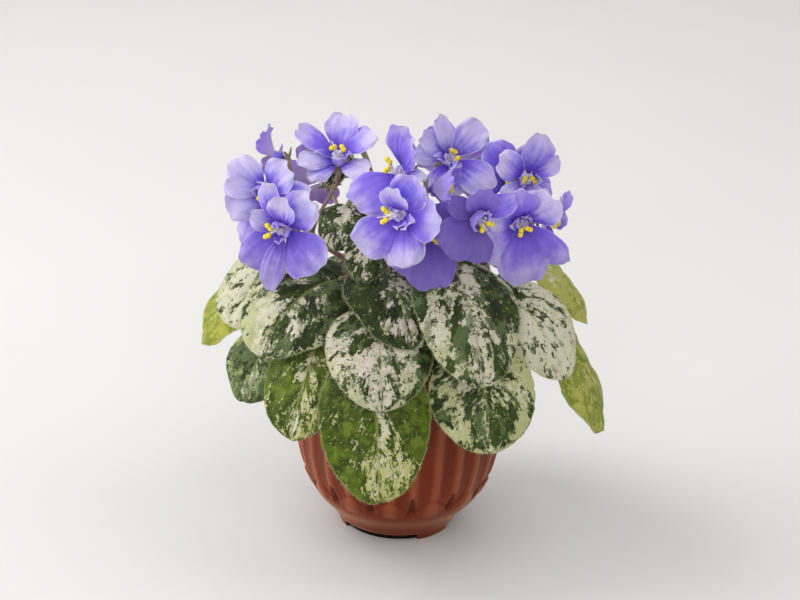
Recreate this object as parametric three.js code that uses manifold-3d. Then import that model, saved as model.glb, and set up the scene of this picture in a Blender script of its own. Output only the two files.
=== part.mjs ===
// Potted African violet: a rosette of variegated leaves and short sprays of blue
// blooms over a ribbed pot. Millimetres, +Z up, the pot's axis on the Z axis and
// its feet on z = 0. An azimuth of 0 points along -Y and grows towards +X.
import * as THREE from "three";
import { mergeVertices } from "three/addons/utils/BufferGeometryUtils.js";
import Module from "manifold-3d";

const wasm = await Module();
wasm.setup();

// Driving dimensions
const GAP = 0.3;
const POT = { height: 86.5, feet: 1.6, floor: 4.6, ribs: 28, phase: 9.5, ribDepth: 0.5, seams: 24 };
const FOOT = { outer: 24.2, inner: 19, width: 40, azimuths: [42, 162, -78] };
const DRAIN = { count: 3, radius: 3, reach: 11, sides: 8 };
const SOIL = { top: 80.5, swell: 1.2 };
const STEM = { radius: 6.5, foot: 68.5, top: 99.5, dome: 2.5, sides: 16 };
const BLADE = { thickness: 0.8, cup: 4, wave: 1 };
const PETIOLE = { root: 1.6, tip: 1.1, sides: 4, steps: 4, lift: 62, under: 0.22 };
const PETAL = { thickness: 0.6, root: 1.9, cup: 0.03, step: 1.1, near: 95 };
const THROAT = { back: -2.6, rise: 0.3, radius: 2.7, neck: 1.3, sides: 6 };
const STALK = { peduncle: 1.2, pedicel: 0.8, sides: 5, steps: 3, spread: 0.3 };
const CALYX = { sepals: 5, reach: 6, notch: 1.7, thickness: 1.1, curl: 0.6 };
const NOD = 0.7;
const ANTHER = { radius: 1.7, stretch: 1.35, filament: 0.45 };

// The pot's outer wall and its cavity as [height, radius]
const WALL = [[1.6, 24.2], [7.5, 27.8], [14.5, 34.6], [21.5, 38], [29.5, 40.8], [38.5, 42.8], [75.5, 46]];
const LIP = [[81.8, 47.7], [86.5, 47.7]];
const CAVITY = [[4.6, 20.5], [10, 26.4], [18, 33], [31, 38.4], [40, 40.3], [87, 44.4]];

// Outer leaves: azimuth, reach and height of the blade's foot, yaw from the
// azimuth, length, width, pitch at the foot and at the tip, roll, petiole's start height
const LEAVES = [
  [-12, 54.5, 90.7, 26, 53, 44, -53, -86, 2, 83],
  [-14, 40, 107.5, 20, 41, 42, -24, -74, 0, 88.5],
  [-19, 20, 117.8, 35, 41, 42, -1, -60, -8, 95.5],
  [-55, 31, 113.5, 5, 49, 44, 6, -72, -26, 89.5],
  [-41, 49, 95.5, 12, 42, 34, -42, -80, -12, 83],
  [-60, 60, 92, 8, 28, 30, -46, -78, -20, 84],
  [-79, 44, 114, 4, 38, 38, -12, -64, -36, 88.5],
  [-101, 65, 97.5, 0, 36, 30, -28, -78, -34, 83.5],
  [39, 31, 122.5, -19, 53, 43, -18, -76, -2, 91.5],
  [35, 51.5, 92.5, -15, 39, 43, -46, -80, 6, 83],
  [72, 39.5, 109.5, -18, 47, 35, -11, -74, 18, 87.5],
  [99, 56, 113.5, -10, 34, 32, -24, -76, 6, 88.5],
  [80, 66, 89.5, -6, 44, 34, -52, -76, 6, 83],
  [130, 36, 118.5, -20, 42, 38, 0, -60, 12, 88.5],
  [160, 40, 108.5, 0, 40, 40, -14, -70, 0, 88.5],
  [178, 52, 92.5, 0, 42, 38, -40, -78, 0, 83],
  [-150, 38, 106.5, 0, 42, 40, -14, -70, 0, 88.5],
  [-128, 50, 94.5, 0, 42, 38, -34, -78, -6, 83],
];

// Young leaves of the crown, in the same order of values
const YOUNG = [
  [-34, 24, 134.5, 22, 22, 19, -34, -68, 0, 92.5],
  [-72, 25, 140.5, 58, 21, 20, -22, -60, 0, 92.5],
  [-128, 35, 154.5, 94, 17, 16, -30, -66, 0, 92.5],
  [96, 16, 122.5, 0, 20, 17, 10, -30, 0, 92.5],
  [178, 18, 122.5, 0, 24, 20, 5, -40, 0, 92.5],
];

// Blooms: throat, facing azimuth and elevation, size, petals as [turn, length,
// width, pitch at the throat, pitch at the tip], anthers and pistil tip as
// [across, up, out] from the throat
const BLOOMS = {
  "01": {
    at: [-46, -40, 141.5], faces: [-18, 8], size: 19,
    petals: [[42, 1, 0.85, 40, 4], [128, 1.1, 0.95, 40, -4], [186, 1.2, 0.5, 35, 5],
      [222, 1.05, 0.8, 40, -5], [-68, 0.7, 0.5, 45, 20], [-14, 1.05, 0.5, 50, 15],
      [14, 0.85, 0.6, 55, 20]],
    anthers: [[-4, 1, 7], [-4.5, -2.5, 7]], pistil: [3, -3, 6],
  },
  "02": {
    at: [-54, -22, 149.5], faces: [-20, 15], size: 18,
    petals: [[42, 0.95, 0.8, 45, 10], [88, 1.1, 0.7, 40, 2], [-52, 0.95, 0.85, 45, 5],
      [-86, 0.85, 0.45, 45, 10], [-122, 0.9, 0.7, 40, 2], [-166, 1.25, 0.75, 35, -10]],
    anthers: [[-1, -1.5, 5], [2.5, -1.5, 4.5]], pistil: [1, 3, 6],
  },
  "03": {
    at: [-52, 2, 156.5], faces: [-110, 8], size: 12,
    petals: [[-30, 1, 0.7, 48, 10], [36, 1, 0.7, 48, 4], [-102, 0.95, 0.8, 42, -4],
      [102, 0.95, 0.8, 42, -4], [180, 1, 0.9, 40, -8]],
    anthers: [[-1.5, -1.5, 4.5], [2, -1.5, 4.5]], pistil: [0, 1.5, 9],
  },
  "04": {
    at: [-28, 5, 155.5], faces: [-8, 58], size: 17,
    petals: [[0, 1, 0.8, 40, 2], [60, 0.95, 0.75, 40, 2], [-66, 1.15, 0.55, 35, 5],
      [-112, 0.95, 0.6, 35, 2], [-140, 0.85, 0.6, 35, -10], [124, 0.9, 0.65, 40, -5]],
    anthers: [[-2, 1, 6.5], [2, 1, 6.5]], pistil: [-3, 4, 7],
  },
  "05": {
    at: [-2, -12, 156.5], faces: [-38, 22], size: 18,
    petals: [[12, 1.05, 0.8, 45, 20], [44, 1.1, 0.7, 50, 30], [-150, 1.25, 1.1, 50, 10],
      [172, 0.9, 0.6, 40, 2], [100, 0.7, 0.5, 40, 2]],
    anthers: [[-4, 3, 6], [-3.5, -0.5, 6]], pistil: [1.5, 2, 7],
  },
  "06": {
    at: [16, 8, 156.5], faces: [10, 30], size: 16,
    petals: [[-86, 1, 0.45, 25, 5], [-56, 0.95, 0.6, 40, 20], [-18, 1.05, 0.5, 45, 15],
      [46, 1.15, 0.8, 40, 10], [130, 1.2, 0.9, 30, -10], [180, 0.85, 0.8, 30, -15],
      [-150, 0.95, 0.6, 30, -15]],
    anthers: [[1, 2, 6.5], [2, -1.5, 6.5]], pistil: [-1, 3, 8],
  },
  "07": {
    at: [-2, -46, 150.5], faces: [-22, 12], size: 18,
    petals: [[26, 0.95, 0.85, 45, 5], [-140, 1.1, 0.9, 45, 2], [166, 1.1, 0.95, 40, 2],
      [88, 0.95, 1, 40, 2], [0, 0.75, 0.65, 70, 30]],
    anthers: [[-4, 1.5, 7], [-4, -2.5, 7]], pistil: [-8, -2, 5],
  },
  "08": {
    at: [9, -36, 140.5], faces: [5, -5], size: 18,
    petals: [[178, 1.2, 1.15, 40, 2], [20, 0.95, 0.9, 45, 2], [95, 0.85, 0.9, 40, 2],
      [-128, 1.05, 0.9, 40, 2], [-50, 0.5, 0.6, 40, 4]],
    anthers: [[-2, -1.5, 4.5], [2, -1.5, 4.5]], pistil: [-4, 0.5, 6],
  },
  "09": {
    at: [26, -44, 149.5], faces: [15, 8], size: 18,
    petals: [[-127, 1, 1, 42, 2], [58, 0.9, 0.55, 45, 10], [-56, 0.85, 0.5, 45, 2],
      [180, 0.9, 0.75, 33, -2], [-4, 0.9, 0.7, 65, 25]],
    anthers: [[1, -3, 5], [4, -1.5, 5]], pistil: [5, -7, 6],
  },
  "10": {
    at: [44, -32, 144.5], faces: [8, 0], size: 19,
    petals: [[-14, 0.95, 0.8, 50, 15], [40, 0.9, 0.9, 50, 10], [-62, 0.75, 0.8, 40, 2],
      [-122, 1.05, 1, 38, -4], [178, 1.2, 1.1, 38, -4], [130, 1.15, 0.6, 38, -6]],
    anthers: [[-1, -2.5, 5], [2, -1, 5]], pistil: [-1, 3, 6],
  },
  "11": {
    at: [47, 1, 152.5], faces: [12, 10], size: 14,
    petals: [[12, 1.35, 0.9, 42, 10], [-56, 1.05, 0.9, 42, 2], [60, 1, 0.6, 42, 2],
      [150, 0.95, 0.5, 40, 2], [-140, 0.95, 0.8, 40, 2]],
    anthers: [[-2, -0.5, 4.5], [2, -0.5, 4.5]], pistil: [1, 3, 6],
  },
  "12": {
    at: [56, -4, 137.5], faces: [60, 0], size: 12,
    petals: [[-30, 1, 0.7, 48, 10], [36, 1, 0.7, 48, 4], [-102, 0.95, 0.8, 42, -4],
      [102, 0.95, 0.8, 42, -4], [180, 0.9, 0.9, 40, -8]],
    anthers: [[-1.5, -1.5, 4.5], [1.5, -1.5, 4.5]], pistil: [0, 2, 6],
  },
  "13": {
    at: [42, 16, 146.5], faces: [5, 20], size: 16,
    petals: [[-30, 1.05, 0.9, 42, 2], [-95, 1, 0.8, 42, 2], [40, 1, 0.8, 42, 2],
      [110, 1, 0.8, 42, 2], [180, 1, 0.8, 42, 2]],
    anthers: [[-1.5, -1, 5], [2, -1, 5]], pistil: [0, 3, 6],
  },
  "14": {
    at: [11, -16, 151.5], faces: [75, 10], size: 13,
    petals: [[-4, 1, 0.6, 60, 40], [-70, 1.1, 0.8, 60, 35], [70, 1, 0.7, 60, 35],
      [180, 0.9, 0.8, 60, 35]],
    anthers: [[-0.8, 0, 6], [0.8, 0, 6]], pistil: [0, 1, 5],
  },
  "15": {
    at: [-34, 44, 136.5], faces: [-152, 30], size: 18,
    petals: [[-36, 0.95, 0.8, 45, 6], [36, 0.95, 0.8, 45, 6], [-106, 1.05, 0.9, 42, -2],
      [106, 1.05, 0.9, 42, -2], [180, 1.15, 1, 40, -6]],
    anthers: [[-1.5, -1.5, 4.5], [2, -1.5, 4.5]], pistil: [0, 3, 6],
  },
  "16": {
    at: [20, 46, 142.5], faces: [165, 28], size: 19,
    petals: [[-36, 0.95, 0.8, 45, 6], [36, 0.95, 0.8, 45, 6], [-106, 1.05, 0.9, 42, -2],
      [106, 1.05, 0.9, 42, -2], [180, 1.15, 1, 40, -6]],
    anthers: [[-1.5, -1.5, 4.5], [2, -1.5, 4.5]], pistil: [0, 3, 6],
  },
};

// Flower sprays: root azimuth and height on the stem, knot where the pedicels part
const SPRAYS = {
  left: { root: [-95, 94.5], knot: [-38, 3, 124.5], blooms: ["01", "02", "03", "04"] },
  back_left: { root: [-135, 94.5], knot: [-24, 24, 122.5], blooms: ["15"] },
  middle: { root: [12, 95.5], knot: [2, -14, 124.5], blooms: ["05", "07", "08", "14"] },
  right: { root: [54, 95.5], knot: [26, -12, 122.5], blooms: ["09", "10", "11", "12"] },
  back_right: { root: [128, 94.5], knot: [22, 14, 126.5], blooms: ["06", "13", "16"] },
};

const COLOURS = {
  pot: 0x7a3f28, soil: 0x2e2119, leaf: 0x5f7a48, young: 0x7f9560, stalk: 0x8f7a6c,
  petal: 0x7a68d0, anther: 0xf0d020,
};

const AXIS = new THREE.Vector3(0, 0, 1);
const rad = THREE.MathUtils.degToRad;
const vector = (x, y, z) => new THREE.Vector3(x, y, z);
const outward = (azimuth) => vector(Math.sin(rad(azimuth)), -Math.cos(rad(azimuth)), 0);
const sideways = (azimuth) => vector(Math.cos(rad(azimuth)), Math.sin(rad(azimuth)), 0);

// A weighted sum of vectors, given as vector, weight, vector, weight, ...
function blend(...pairs) {
  const sum = vector(0, 0, 0);
  for (let i = 0; i < pairs.length; i += 2) {
    sum.addScaledVector(pairs[i], pairs[i + 1]);
  }
  return sum;
}

// Solids

function geometryOf(points, triangles) {
  const geometry = new THREE.BufferGeometry();
  geometry.setAttribute("position", new THREE.Float32BufferAttribute(points, 3));
  geometry.setIndex(triangles);
  return geometry;
}

function solidOf(geometry) {
  geometry.deleteAttribute("normal");
  geometry.deleteAttribute("uv");
  const merged = mergeVertices(geometry, 1e-4);
  return new wasm.Manifold(new wasm.Mesh({
    numProp: 3,
    vertProperties: new Float32Array(merged.attributes.position.array),
    triVerts: new Uint32Array(merged.index.array),
  }));
}

function geometryOfSolid(solid) {
  const mesh = solid.getMesh();
  return geometryOf(Array.from(mesh.vertProperties), Array.from(mesh.triVerts));
}

const joined = (solids) => solids.reduce((whole, piece) => whole.add(piece));

// A closed skin over rings of points that run around an axis, capped at both ends
function skin(rings) {
  const sides = rings[0].length;
  const points = rings.flat().flatMap((point) => point.toArray());
  const triangles = [];
  for (let ring = 0; ring < rings.length - 1; ring += 1) {
    for (let side = 0; side < sides; side += 1) {
      const a = ring * sides + side;
      const b = ring * sides + (side + 1) % sides;
      triangles.push(a, b, b + sides, a, b + sides, a + sides);
    }
  }
  for (const [ring, flip] of [[0, true], [rings.length - 1, false]]) {
    const middle = points.length / 3;
    const centre = blend(...rings[ring].flatMap((point) => [point, 1 / sides]));
    points.push(...centre.toArray());
    for (let side = 0; side < sides; side += 1) {
      const a = ring * sides + side;
      const b = ring * sides + (side + 1) % sides;
      triangles.push(...(flip ? [b, a, middle] : [a, b, middle]));
    }
  }
  return solidOf(geometryOf(points, triangles));
}

// A tapering round bar along a list of points
function bar(path, radii, sides) {
  const chord = blend(path.at(-1), 1, path[0], -1);
  const start = blend(path[1], 1, path[0], -1);
  let across = start.clone().cross(chord);
  if (across.length() < 0.01 * start.length() * chord.length()) {
    across = vector(chord.z, chord.x, chord.y).cross(chord);
  }
  const rings = path.map((point, i) => {
    const before = path[Math.max(i - 1, 0)];
    const after = path[Math.min(i + 1, path.length - 1)];
    const along = after.clone().sub(before).normalize();
    across = across.clone().addScaledVector(along, -across.dot(along)).normalize();
    const up = along.clone().cross(across);
    return Array.from({ length: sides }, (_, side) => {
      const turn = 2 * Math.PI * side / sides;
      return blend(point, 1, across, radii[i] * Math.cos(turn), up, radii[i] * Math.sin(turn));
    });
  });
  return skin(rings);
}

// A thin blade between two curved faces. Each row is a list of {point, normal}
// from one edge to the other; a row of one entry is a pointed end.
function blade(rows, thickness) {
  const points = [];
  const upper = [];
  const lower = [];
  for (const row of rows) {
    upper.push(row.map(({ point, normal }) => {
      points.push(...blend(point, 1, normal, thickness / 2).toArray());
      return points.length / 3 - 1;
    }));
    lower.push(row.map(({ point, normal }) => {
      points.push(...blend(point, 1, normal, -thickness / 2).toArray());
      return points.length / 3 - 1;
    }));
  }
  const triangles = [];
  const face = (rowsOf, flip) => {
    const add = (a, b, c) => triangles.push(...(flip ? [a, c, b] : [a, b, c]));
    for (let i = 0; i < rowsOf.length - 1; i += 1) {
      const near = rowsOf[i];
      const far = rowsOf[i + 1];
      for (let j = 0; j < Math.max(near.length, far.length) - 1; j += 1) {
        if (near.length === 1) {
          add(near[0], far[j + 1], far[j]);
        } else if (far.length === 1) {
          add(near[j], near[j + 1], far[0]);
        } else {
          add(near[j], near[j + 1], far[j + 1]);
          add(near[j], far[j + 1], far[j]);
        }
      }
    }
  };
  face(upper, false);
  face(lower, true);
  const rim = [];
  const last = rows.length - 1;
  for (let i = 0; i < last; i += 1) {
    rim.push([[i, 0], [i + 1, 0]]);
  }
  for (let j = 0; j < rows[last].length - 1; j += 1) {
    rim.push([[last, j], [last, j + 1]]);
  }
  for (let i = last; i > 0; i -= 1) {
    rim.push([[i, rows[i].length - 1], [i - 1, rows[i - 1].length - 1]]);
  }
  for (let j = rows[0].length - 1; j > 0; j -= 1) {
    rim.push([[0, j], [0, j - 1]]);
  }
  for (const [[i, j], [k, l]] of rim) {
    triangles.push(upper[i][j], upper[k][l], lower[k][l]);
    triangles.push(upper[i][j], lower[k][l], lower[i][j]);
  }
  return solidOf(geometryOf(points, triangles));
}

// Points of a cubic Bezier curve that leaves and arrives along given directions
function arc(start, leaving, end, arriving, steps) {
  const reach = 0.4 * start.distanceTo(end);
  const curve = new THREE.CubicBezierCurve3(
    start, blend(start, 1, leaving, reach), blend(end, 1, arriving, -reach), end);
  return curve.getPoints(steps);
}

const taper = (count, first, last) => Array.from({ length: count },
  (_, i) => first + (last - first) * i / (count - 1));

// The pot and what it holds

// Height between two heights eased from 0 to 1
function ease(low, high, height) {
  return THREE.MathUtils.smoothstep(height, low, high);
}

// The wall swells at each rib; the ribs end low down in a band of pointed bosses
function wallRadius(radius, height, turn) {
  const rib = Math.cos(POT.ribs * (turn - rad(POT.phase)));
  const ribbed = ease(15, 25, height) * (1 - ease(62, 81.8, height));
  const boss = Math.cos(POT.ribs / 2 * (turn - rad(POT.phase)));
  const banded = ease(8, 16, height) * (1 - ease(24, 34, height));
  return radius + POT.ribDepth * rib * ribbed + 0.9 * Math.max(boss, 0) * banded;
}

function makePot() {
  const count = 3 * POT.ribs;
  const rings = [...WALL, ...LIP].map(([height, radius]) => Array.from({ length: count }, (_, i) => {
    const turn = 2 * Math.PI * i / count + rad(POT.phase);
    const reach = wallRadius(radius, height, turn);
    return vector(reach * Math.cos(turn), reach * Math.sin(turn), height);
  }));
  let pot = skin(rings);
  const profile = [vector(0, POT.floor), ...CAVITY.map(([height, radius]) => vector(radius, height)),
    vector(0, CAVITY.at(-1)[0])];
  pot = pot.subtract(turned(profile, POT.seams));
  for (let i = 0; i < DRAIN.count; i += 1) {
    const hole = new THREE.CylinderGeometry(DRAIN.radius, DRAIN.radius, 8, DRAIN.sides);
    hole.rotateX(Math.PI / 2);
    const spot = outward(i * 360 / DRAIN.count + 45).multiplyScalar(DRAIN.reach);
    hole.translate(spot.x, spot.y, 3);
    pot = pot.subtract(solidOf(hole));
  }
  return joined([pot, ...FOOT.azimuths.map(makeFoot)]);
}

function makeFoot(azimuth) {
  const first = rad(azimuth - 90 - FOOT.width / 2);
  const last = rad(azimuth - 90 + FOOT.width / 2);
  const outline = new THREE.Shape();
  outline.absarc(0, 0, FOOT.outer, first, last, false);
  outline.absarc(0, 0, FOOT.inner, last, first, true);
  const settings = { depth: POT.feet + 1, bevelEnabled: false, curveSegments: 5 };
  return solidOf(new THREE.ExtrudeGeometry(outline, settings));
}

// A solid of revolution about the Z axis from points with x as radius, y as height
function turned(profile, sides) {
  const geometry = new THREE.LatheGeometry(
    profile.map((point) => new THREE.Vector2(point.x, point.y)), sides);
  geometry.rotateX(Math.PI / 2);
  return solidOf(geometry);
}

function makeSoil() {
  const wall = CAVITY.slice(0, -1).map(([height, radius]) => vector(radius - GAP, height));
  wall[0].y = POT.floor + GAP;
  const [low, high] = [CAVITY.at(-2), CAVITY.at(-1)];
  const edge = THREE.MathUtils.mapLinear(SOIL.top, low[0], high[0], low[1], high[1]) - GAP;
  const top = [vector(edge, SOIL.top), vector(0.72 * edge, SOIL.top + SOIL.swell),
    vector(0.4 * edge, SOIL.top + 0.3 * SOIL.swell), vector(0, SOIL.top)];
  const soil = turned([vector(0, POT.floor + GAP), ...wall, ...top], POT.seams);
  const hole = turned([vector(0, STEM.foot), vector(STEM.radius + GAP, STEM.foot),
    vector(STEM.radius + GAP, POT.height), vector(0, POT.height)], STEM.sides);
  return soil.subtract(hole);
}

// Leaves

function leafOf([azimuth, reach, height, yaw, length, width, first, last, roll, start], seed) {
  const head = azimuth + yaw;
  const rooted = STEM.radius + GAP + PETIOLE.root * Math.sin(rad(PETIOLE.lift));
  return {
    foot: blend(outward(azimuth), reach, AXIS, height), ahead: outward(head), side: sideways(head),
    root: blend(outward(azimuth), rooted, AXIS, start), azimuth, length, width,
    first: rad(first), last: rad(last), roll: rad(roll), seed,
  };
}

// A point of the blade and its normal. The row runs from 0 at the notch to 1 at
// the tip, side from -1 to 1 between the edges; rows sweep forward as veins do.
function leafPoint(leaf, row, side) {
  const turn = Math.PI * row;
  const lobe = 0.16 * Math.exp(-((turn / 0.26) ** 2));
  const middle = row ** 2;
  const edge = 0.42 - 0.58 * Math.cos(turn) + lobe;
  const along = middle + Math.abs(side) * (edge - middle);
  const reach = side * Math.sin(turn) * (1 + 0.1 * Math.cos(turn));
  const ripple = Math.sin(2 * Math.PI * (2.5 * row + 0.37 * leaf.seed) + (side > 0 ? 1.3 : 0));
  const rise = BLADE.wave * Math.abs(side) ** 3 * ripple - BLADE.cup * leaf.width / 42 * reach ** 2;
  const bend = leaf.last - leaf.first;
  const pitch = leaf.first + bend * along;
  const chord = leaf.length / bend;
  const level = blend(leaf.ahead, -Math.sin(pitch), AXIS, Math.cos(pitch));
  const across = blend(leaf.side, Math.cos(leaf.roll), level, Math.sin(leaf.roll));
  const normal = blend(leaf.side, -Math.sin(leaf.roll), level, Math.cos(leaf.roll));
  const point = blend(leaf.foot, 1,
    leaf.ahead, chord * (Math.sin(pitch) - Math.sin(leaf.first)),
    AXIS, chord * (Math.cos(leaf.first) - Math.cos(pitch)),
    across, reach * leaf.width / 2, normal, rise);
  return { point, normal };
}

function makeLeaf(leaf, rows, sides) {
  const grid = rows.map((row) => (row === 0 || row === 1 ? [0] : sides)
    .map((side) => leafPoint(leaf, row, side)));
  const under = leafPoint(leaf, PETIOLE.under, 0);
  const leaving = blend(outward(leaf.azimuth), Math.cos(rad(PETIOLE.lift)),
    AXIS, Math.sin(rad(PETIOLE.lift)));
  const arriving = blend(leaf.ahead, Math.cos(leaf.first), AXIS, Math.sin(leaf.first));
  const path = [...arc(leaf.root, leaving, leaf.foot, arriving, PETIOLE.steps), under.point];
  const radii = [...taper(PETIOLE.steps + 1, PETIOLE.root, PETIOLE.tip), 0.6];
  return joined([blade(grid, BLADE.thickness), bar(path, radii, PETIOLE.sides)]);
}

const LEAF_ROWS = [0, 0.08, 0.2, 0.36, 0.54, 0.73, 0.9, 1];
const LEAF_SIDES = [1, 0.5, 0, -0.5, -1];
const YOUNG_ROWS = [0, 0.1, 0.3, 0.55, 0.82, 1];
const YOUNG_SIDES = [1, 0, -1];

function makeCrown() {
  const profile = [vector(0, STEM.foot + GAP), vector(STEM.radius, STEM.foot + GAP),
    vector(STEM.radius, STEM.top - STEM.dome), vector(0.6 * STEM.radius, STEM.top),
    vector(0, STEM.top)];
  const leaves = YOUNG.map((row, i) => {
    const leaf = leafOf(row, i);
    leaf.root = blend(outward(leaf.azimuth), 0.5 * STEM.radius, AXIS, STEM.top - 3);
    return makeLeaf(leaf, YOUNG_ROWS, YOUNG_SIDES);
  });
  return joined([turned(profile, STEM.sides), ...leaves]);
}

// Flowers

function bloomFrame({ at, faces: [azimuth, elevation] }) {
  const tilt = rad(elevation);
  return {
    throat: vector(...at),
    out: blend(outward(azimuth), Math.cos(tilt), AXIS, Math.sin(tilt)),
    up: blend(outward(azimuth), -Math.sin(tilt), AXIS, Math.cos(tilt)),
    side: sideways(azimuth),
  };
}

const spot = (frame, [across, up, out]) => blend(frame.throat, 1, frame.side, across,
  frame.up, up, frame.out, out);

// A point of a petal and its normal. The row runs from 0 at the throat to 1 at
// the tip, edge from -1 to 1 across it.
function petalPoint(frame, size, [turn, length, width, first, last], lift, row, edge) {
  const away = blend(frame.up, Math.cos(rad(turn)), frame.side, Math.sin(rad(turn)));
  const across = blend(frame.up, -Math.sin(rad(turn)), frame.side, Math.cos(rad(turn)));
  const low = Math.min(row / 0.6, 1);
  const opening = 0.1 + 0.9 * Math.sin(Math.PI / 2 * low) ** 1.1;
  const closing = Math.sqrt(1 - Math.max((row - 0.6) / 0.4, 0) ** 2);
  const reach = edge * opening * closing;
  const bend = rad(last - first);
  const pitch = rad(first) + bend * row;
  const chord = length * size / bend;
  const normal = blend(away, -Math.sin(pitch), frame.out, Math.cos(pitch));
  const point = blend(frame.throat, 1,
    away, PETAL.root + chord * (Math.sin(pitch) - Math.sin(rad(first))),
    frame.out, lift + chord * (Math.cos(rad(first)) - Math.cos(pitch)),
    across, reach * width * size / 2, normal, PETAL.cup * width * size * reach ** 2);
  return { point, normal };
}

const PETAL_ROWS = [0, 0.35, 0.72, 0.96];
const PETAL_EDGES = [-1, 0, 1];

// Petals that stand further forward lie in front of the ones they overlap
function petalLevels(petals) {
  const order = [...petals].sort((a, b) => a[3] + a[4] - b[3] - b[4]);
  const levels = new Map();
  for (const petal of order) {
    let level = 0;
    for (const [other, taken] of levels) {
      const apart = Math.abs(petal[0] - other[0]) % 360;
      if (Math.min(apart, 360 - apart) < PETAL.near) {
        level = Math.max(level, taken + 1);
      }
    }
    levels.set(petal, level);
  }
  return levels;
}

const petalLift = (level) => PETAL.step * (level - 1);

// How far the throat stands forward, past its foremost petal
const throatFront = (bloom) => THROAT.rise
  + Math.max(petalLift(Math.max(...petalLevels(bloom.petals).values())), 0);

function makeCorolla(bloom) {
  const frame = bloomFrame(bloom);
  const petals = [...petalLevels(bloom.petals)].map(([petal, level]) => {
    const lift = petalLift(level);
    const rows = PETAL_ROWS.map((row) => PETAL_EDGES.map(
      (edge) => petalPoint(frame, bloom.size, petal, lift, row, edge)));
    return blade(rows, PETAL.thickness);
  });
  const tube = bar([spot(frame, [0, 0, THROAT.back]), spot(frame, [0, 0, -PETAL.step]),
    spot(frame, [0, 0, throatFront(bloom)])], [THROAT.neck, THROAT.radius, THROAT.radius], THROAT.sides);
  const [across, up, out] = bloom.pistil;
  const lean = Math.hypot(across, up);
  const foot = spot(frame, [across / lean, up / lean, 0]);
  const pistil = bar([foot, spot(frame, [across, up, out])], [0.45, 0.35], 3);
  return joined([tube, pistil, ...petals]);
}

function makeStamens(bloom) {
  const frame = bloomFrame(bloom);
  const [first, second] = bloom.anthers.map((anther) => spot(frame, anther));
  const [across, up] = bloom.pistil;
  const lean = Math.hypot(across, up);
  const foot = spot(frame, [-across / lean, -up / lean, throatFront(bloom) + GAP + ANTHER.filament]);
  const split = blend(first, 1, second, -1).normalize();
  const lobes = [first, second].map((anther) => {
    const lobe = new THREE.OctahedronGeometry(ANTHER.radius, 0);
    lobe.scale(1, 1, ANTHER.stretch);
    lobe.applyQuaternion(new THREE.Quaternion().setFromUnitVectors(AXIS, split));
    lobe.translate(...anther.toArray());
    return solidOf(lobe);
  });
  const filaments = bar([first, foot, second], taper(3, ANTHER.filament, ANTHER.filament), 3);
  return joined([filaments, ...lobes]);
}

// The calyx: a star of pointed sepals behind the petals at a pedicel's end
function makeCalyx(frame) {
  const star = (out) => Array.from({ length: 2 * CALYX.sepals }, (_, i) => {
    const turn = Math.PI * (i / CALYX.sepals + 0.5);
    const tip = i % 2 === 1;
    const along = tip ? CALYX.reach : CALYX.notch;
    return spot(frame, [along * Math.cos(turn), along * Math.sin(turn), out + (tip ? CALYX.curl : 0)]);
  });
  const front = THROAT.back - GAP - CALYX.curl / 2;
  return skin([star(front - CALYX.thickness), star(front)]);
}

function makeSpray({ root: [azimuth, height], knot, blooms }) {
  const clear = STEM.radius + GAP + STALK.peduncle;
  const root = blend(outward(azimuth), clear, AXIS, height);
  const fork = vector(...knot);
  const climbing = blend(fork, 1, root, -1).normalize();
  const count = STALK.steps + 1;
  const pieces = [bar(arc(root, AXIS, fork, climbing, STALK.steps),
    taper(count, STALK.peduncle, STALK.peduncle), STALK.sides)];
  for (const name of blooms) {
    const frame = bloomFrame(BLOOMS[name]);
    const end = spot(frame, [0, 0, THROAT.back - GAP - CALYX.thickness]);
    const arriving = blend(frame.out, 1 - NOD, AXIS, NOD).normalize();
    const leaving = blend(climbing, STALK.spread, blend(end, 1, fork, -1).normalize(), 1);
    const path = arc(fork, leaving.normalize(), end, arriving, STALK.steps);
    const radii = taper(count, STALK.pedicel, STALK.pedicel);
    pieces.push(bar(path, radii, STALK.sides - 1), makeCalyx(frame));
  }
  return joined(pieces);
}

// The whole plant in its pot

const violet = new THREE.Group();

function place(name, solid, colour, roughness) {
  const material = new THREE.MeshStandardMaterial({ color: colour, roughness, metalness: 0 });
  const mesh = new THREE.Mesh(geometryOfSolid(solid), material);
  mesh.name = name;
  violet.add(mesh);
}

place("pot", makePot(), COLOURS.pot, 0.45);
place("soil", makeSoil(), COLOURS.soil, 0.95);
place("crown", makeCrown(), COLOURS.young, 0.7);
LEAVES.forEach((row, i) => {
  const name = `leaf_${String(i + 1).padStart(2, "0")}`;
  place(name, makeLeaf(leafOf(row, i), LEAF_ROWS, LEAF_SIDES), COLOURS.leaf, 0.7);
});
for (const [name, spray] of Object.entries(SPRAYS)) {
  place(`spray_${name}`, makeSpray(spray), COLOURS.stalk, 0.6);
}
for (const [name, bloom] of Object.entries(BLOOMS)) {
  place(`corolla_${name}`, makeCorolla(bloom), COLOURS.petal, 0.6);
  place(`stamens_${name}`, makeStamens(bloom), COLOURS.anther, 0.5);
}

export default violet;
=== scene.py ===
"""Potted african violet: variegated leaves, blue-violet blooms and a ribbed pot.

Laid out as an add-on: settings, one operator for each piece or group of like pieces, and a
panel. Lengths in the tables are millimetres, with the pot's axis on the Z axis, its feet on
z = 0 and the front along -Y. An azimuth of 0 points along -Y and grows towards +X.
"""

from collections import namedtuple
from types import SimpleNamespace

import bpy
import numpy as np
from mathutils import Matrix


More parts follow.
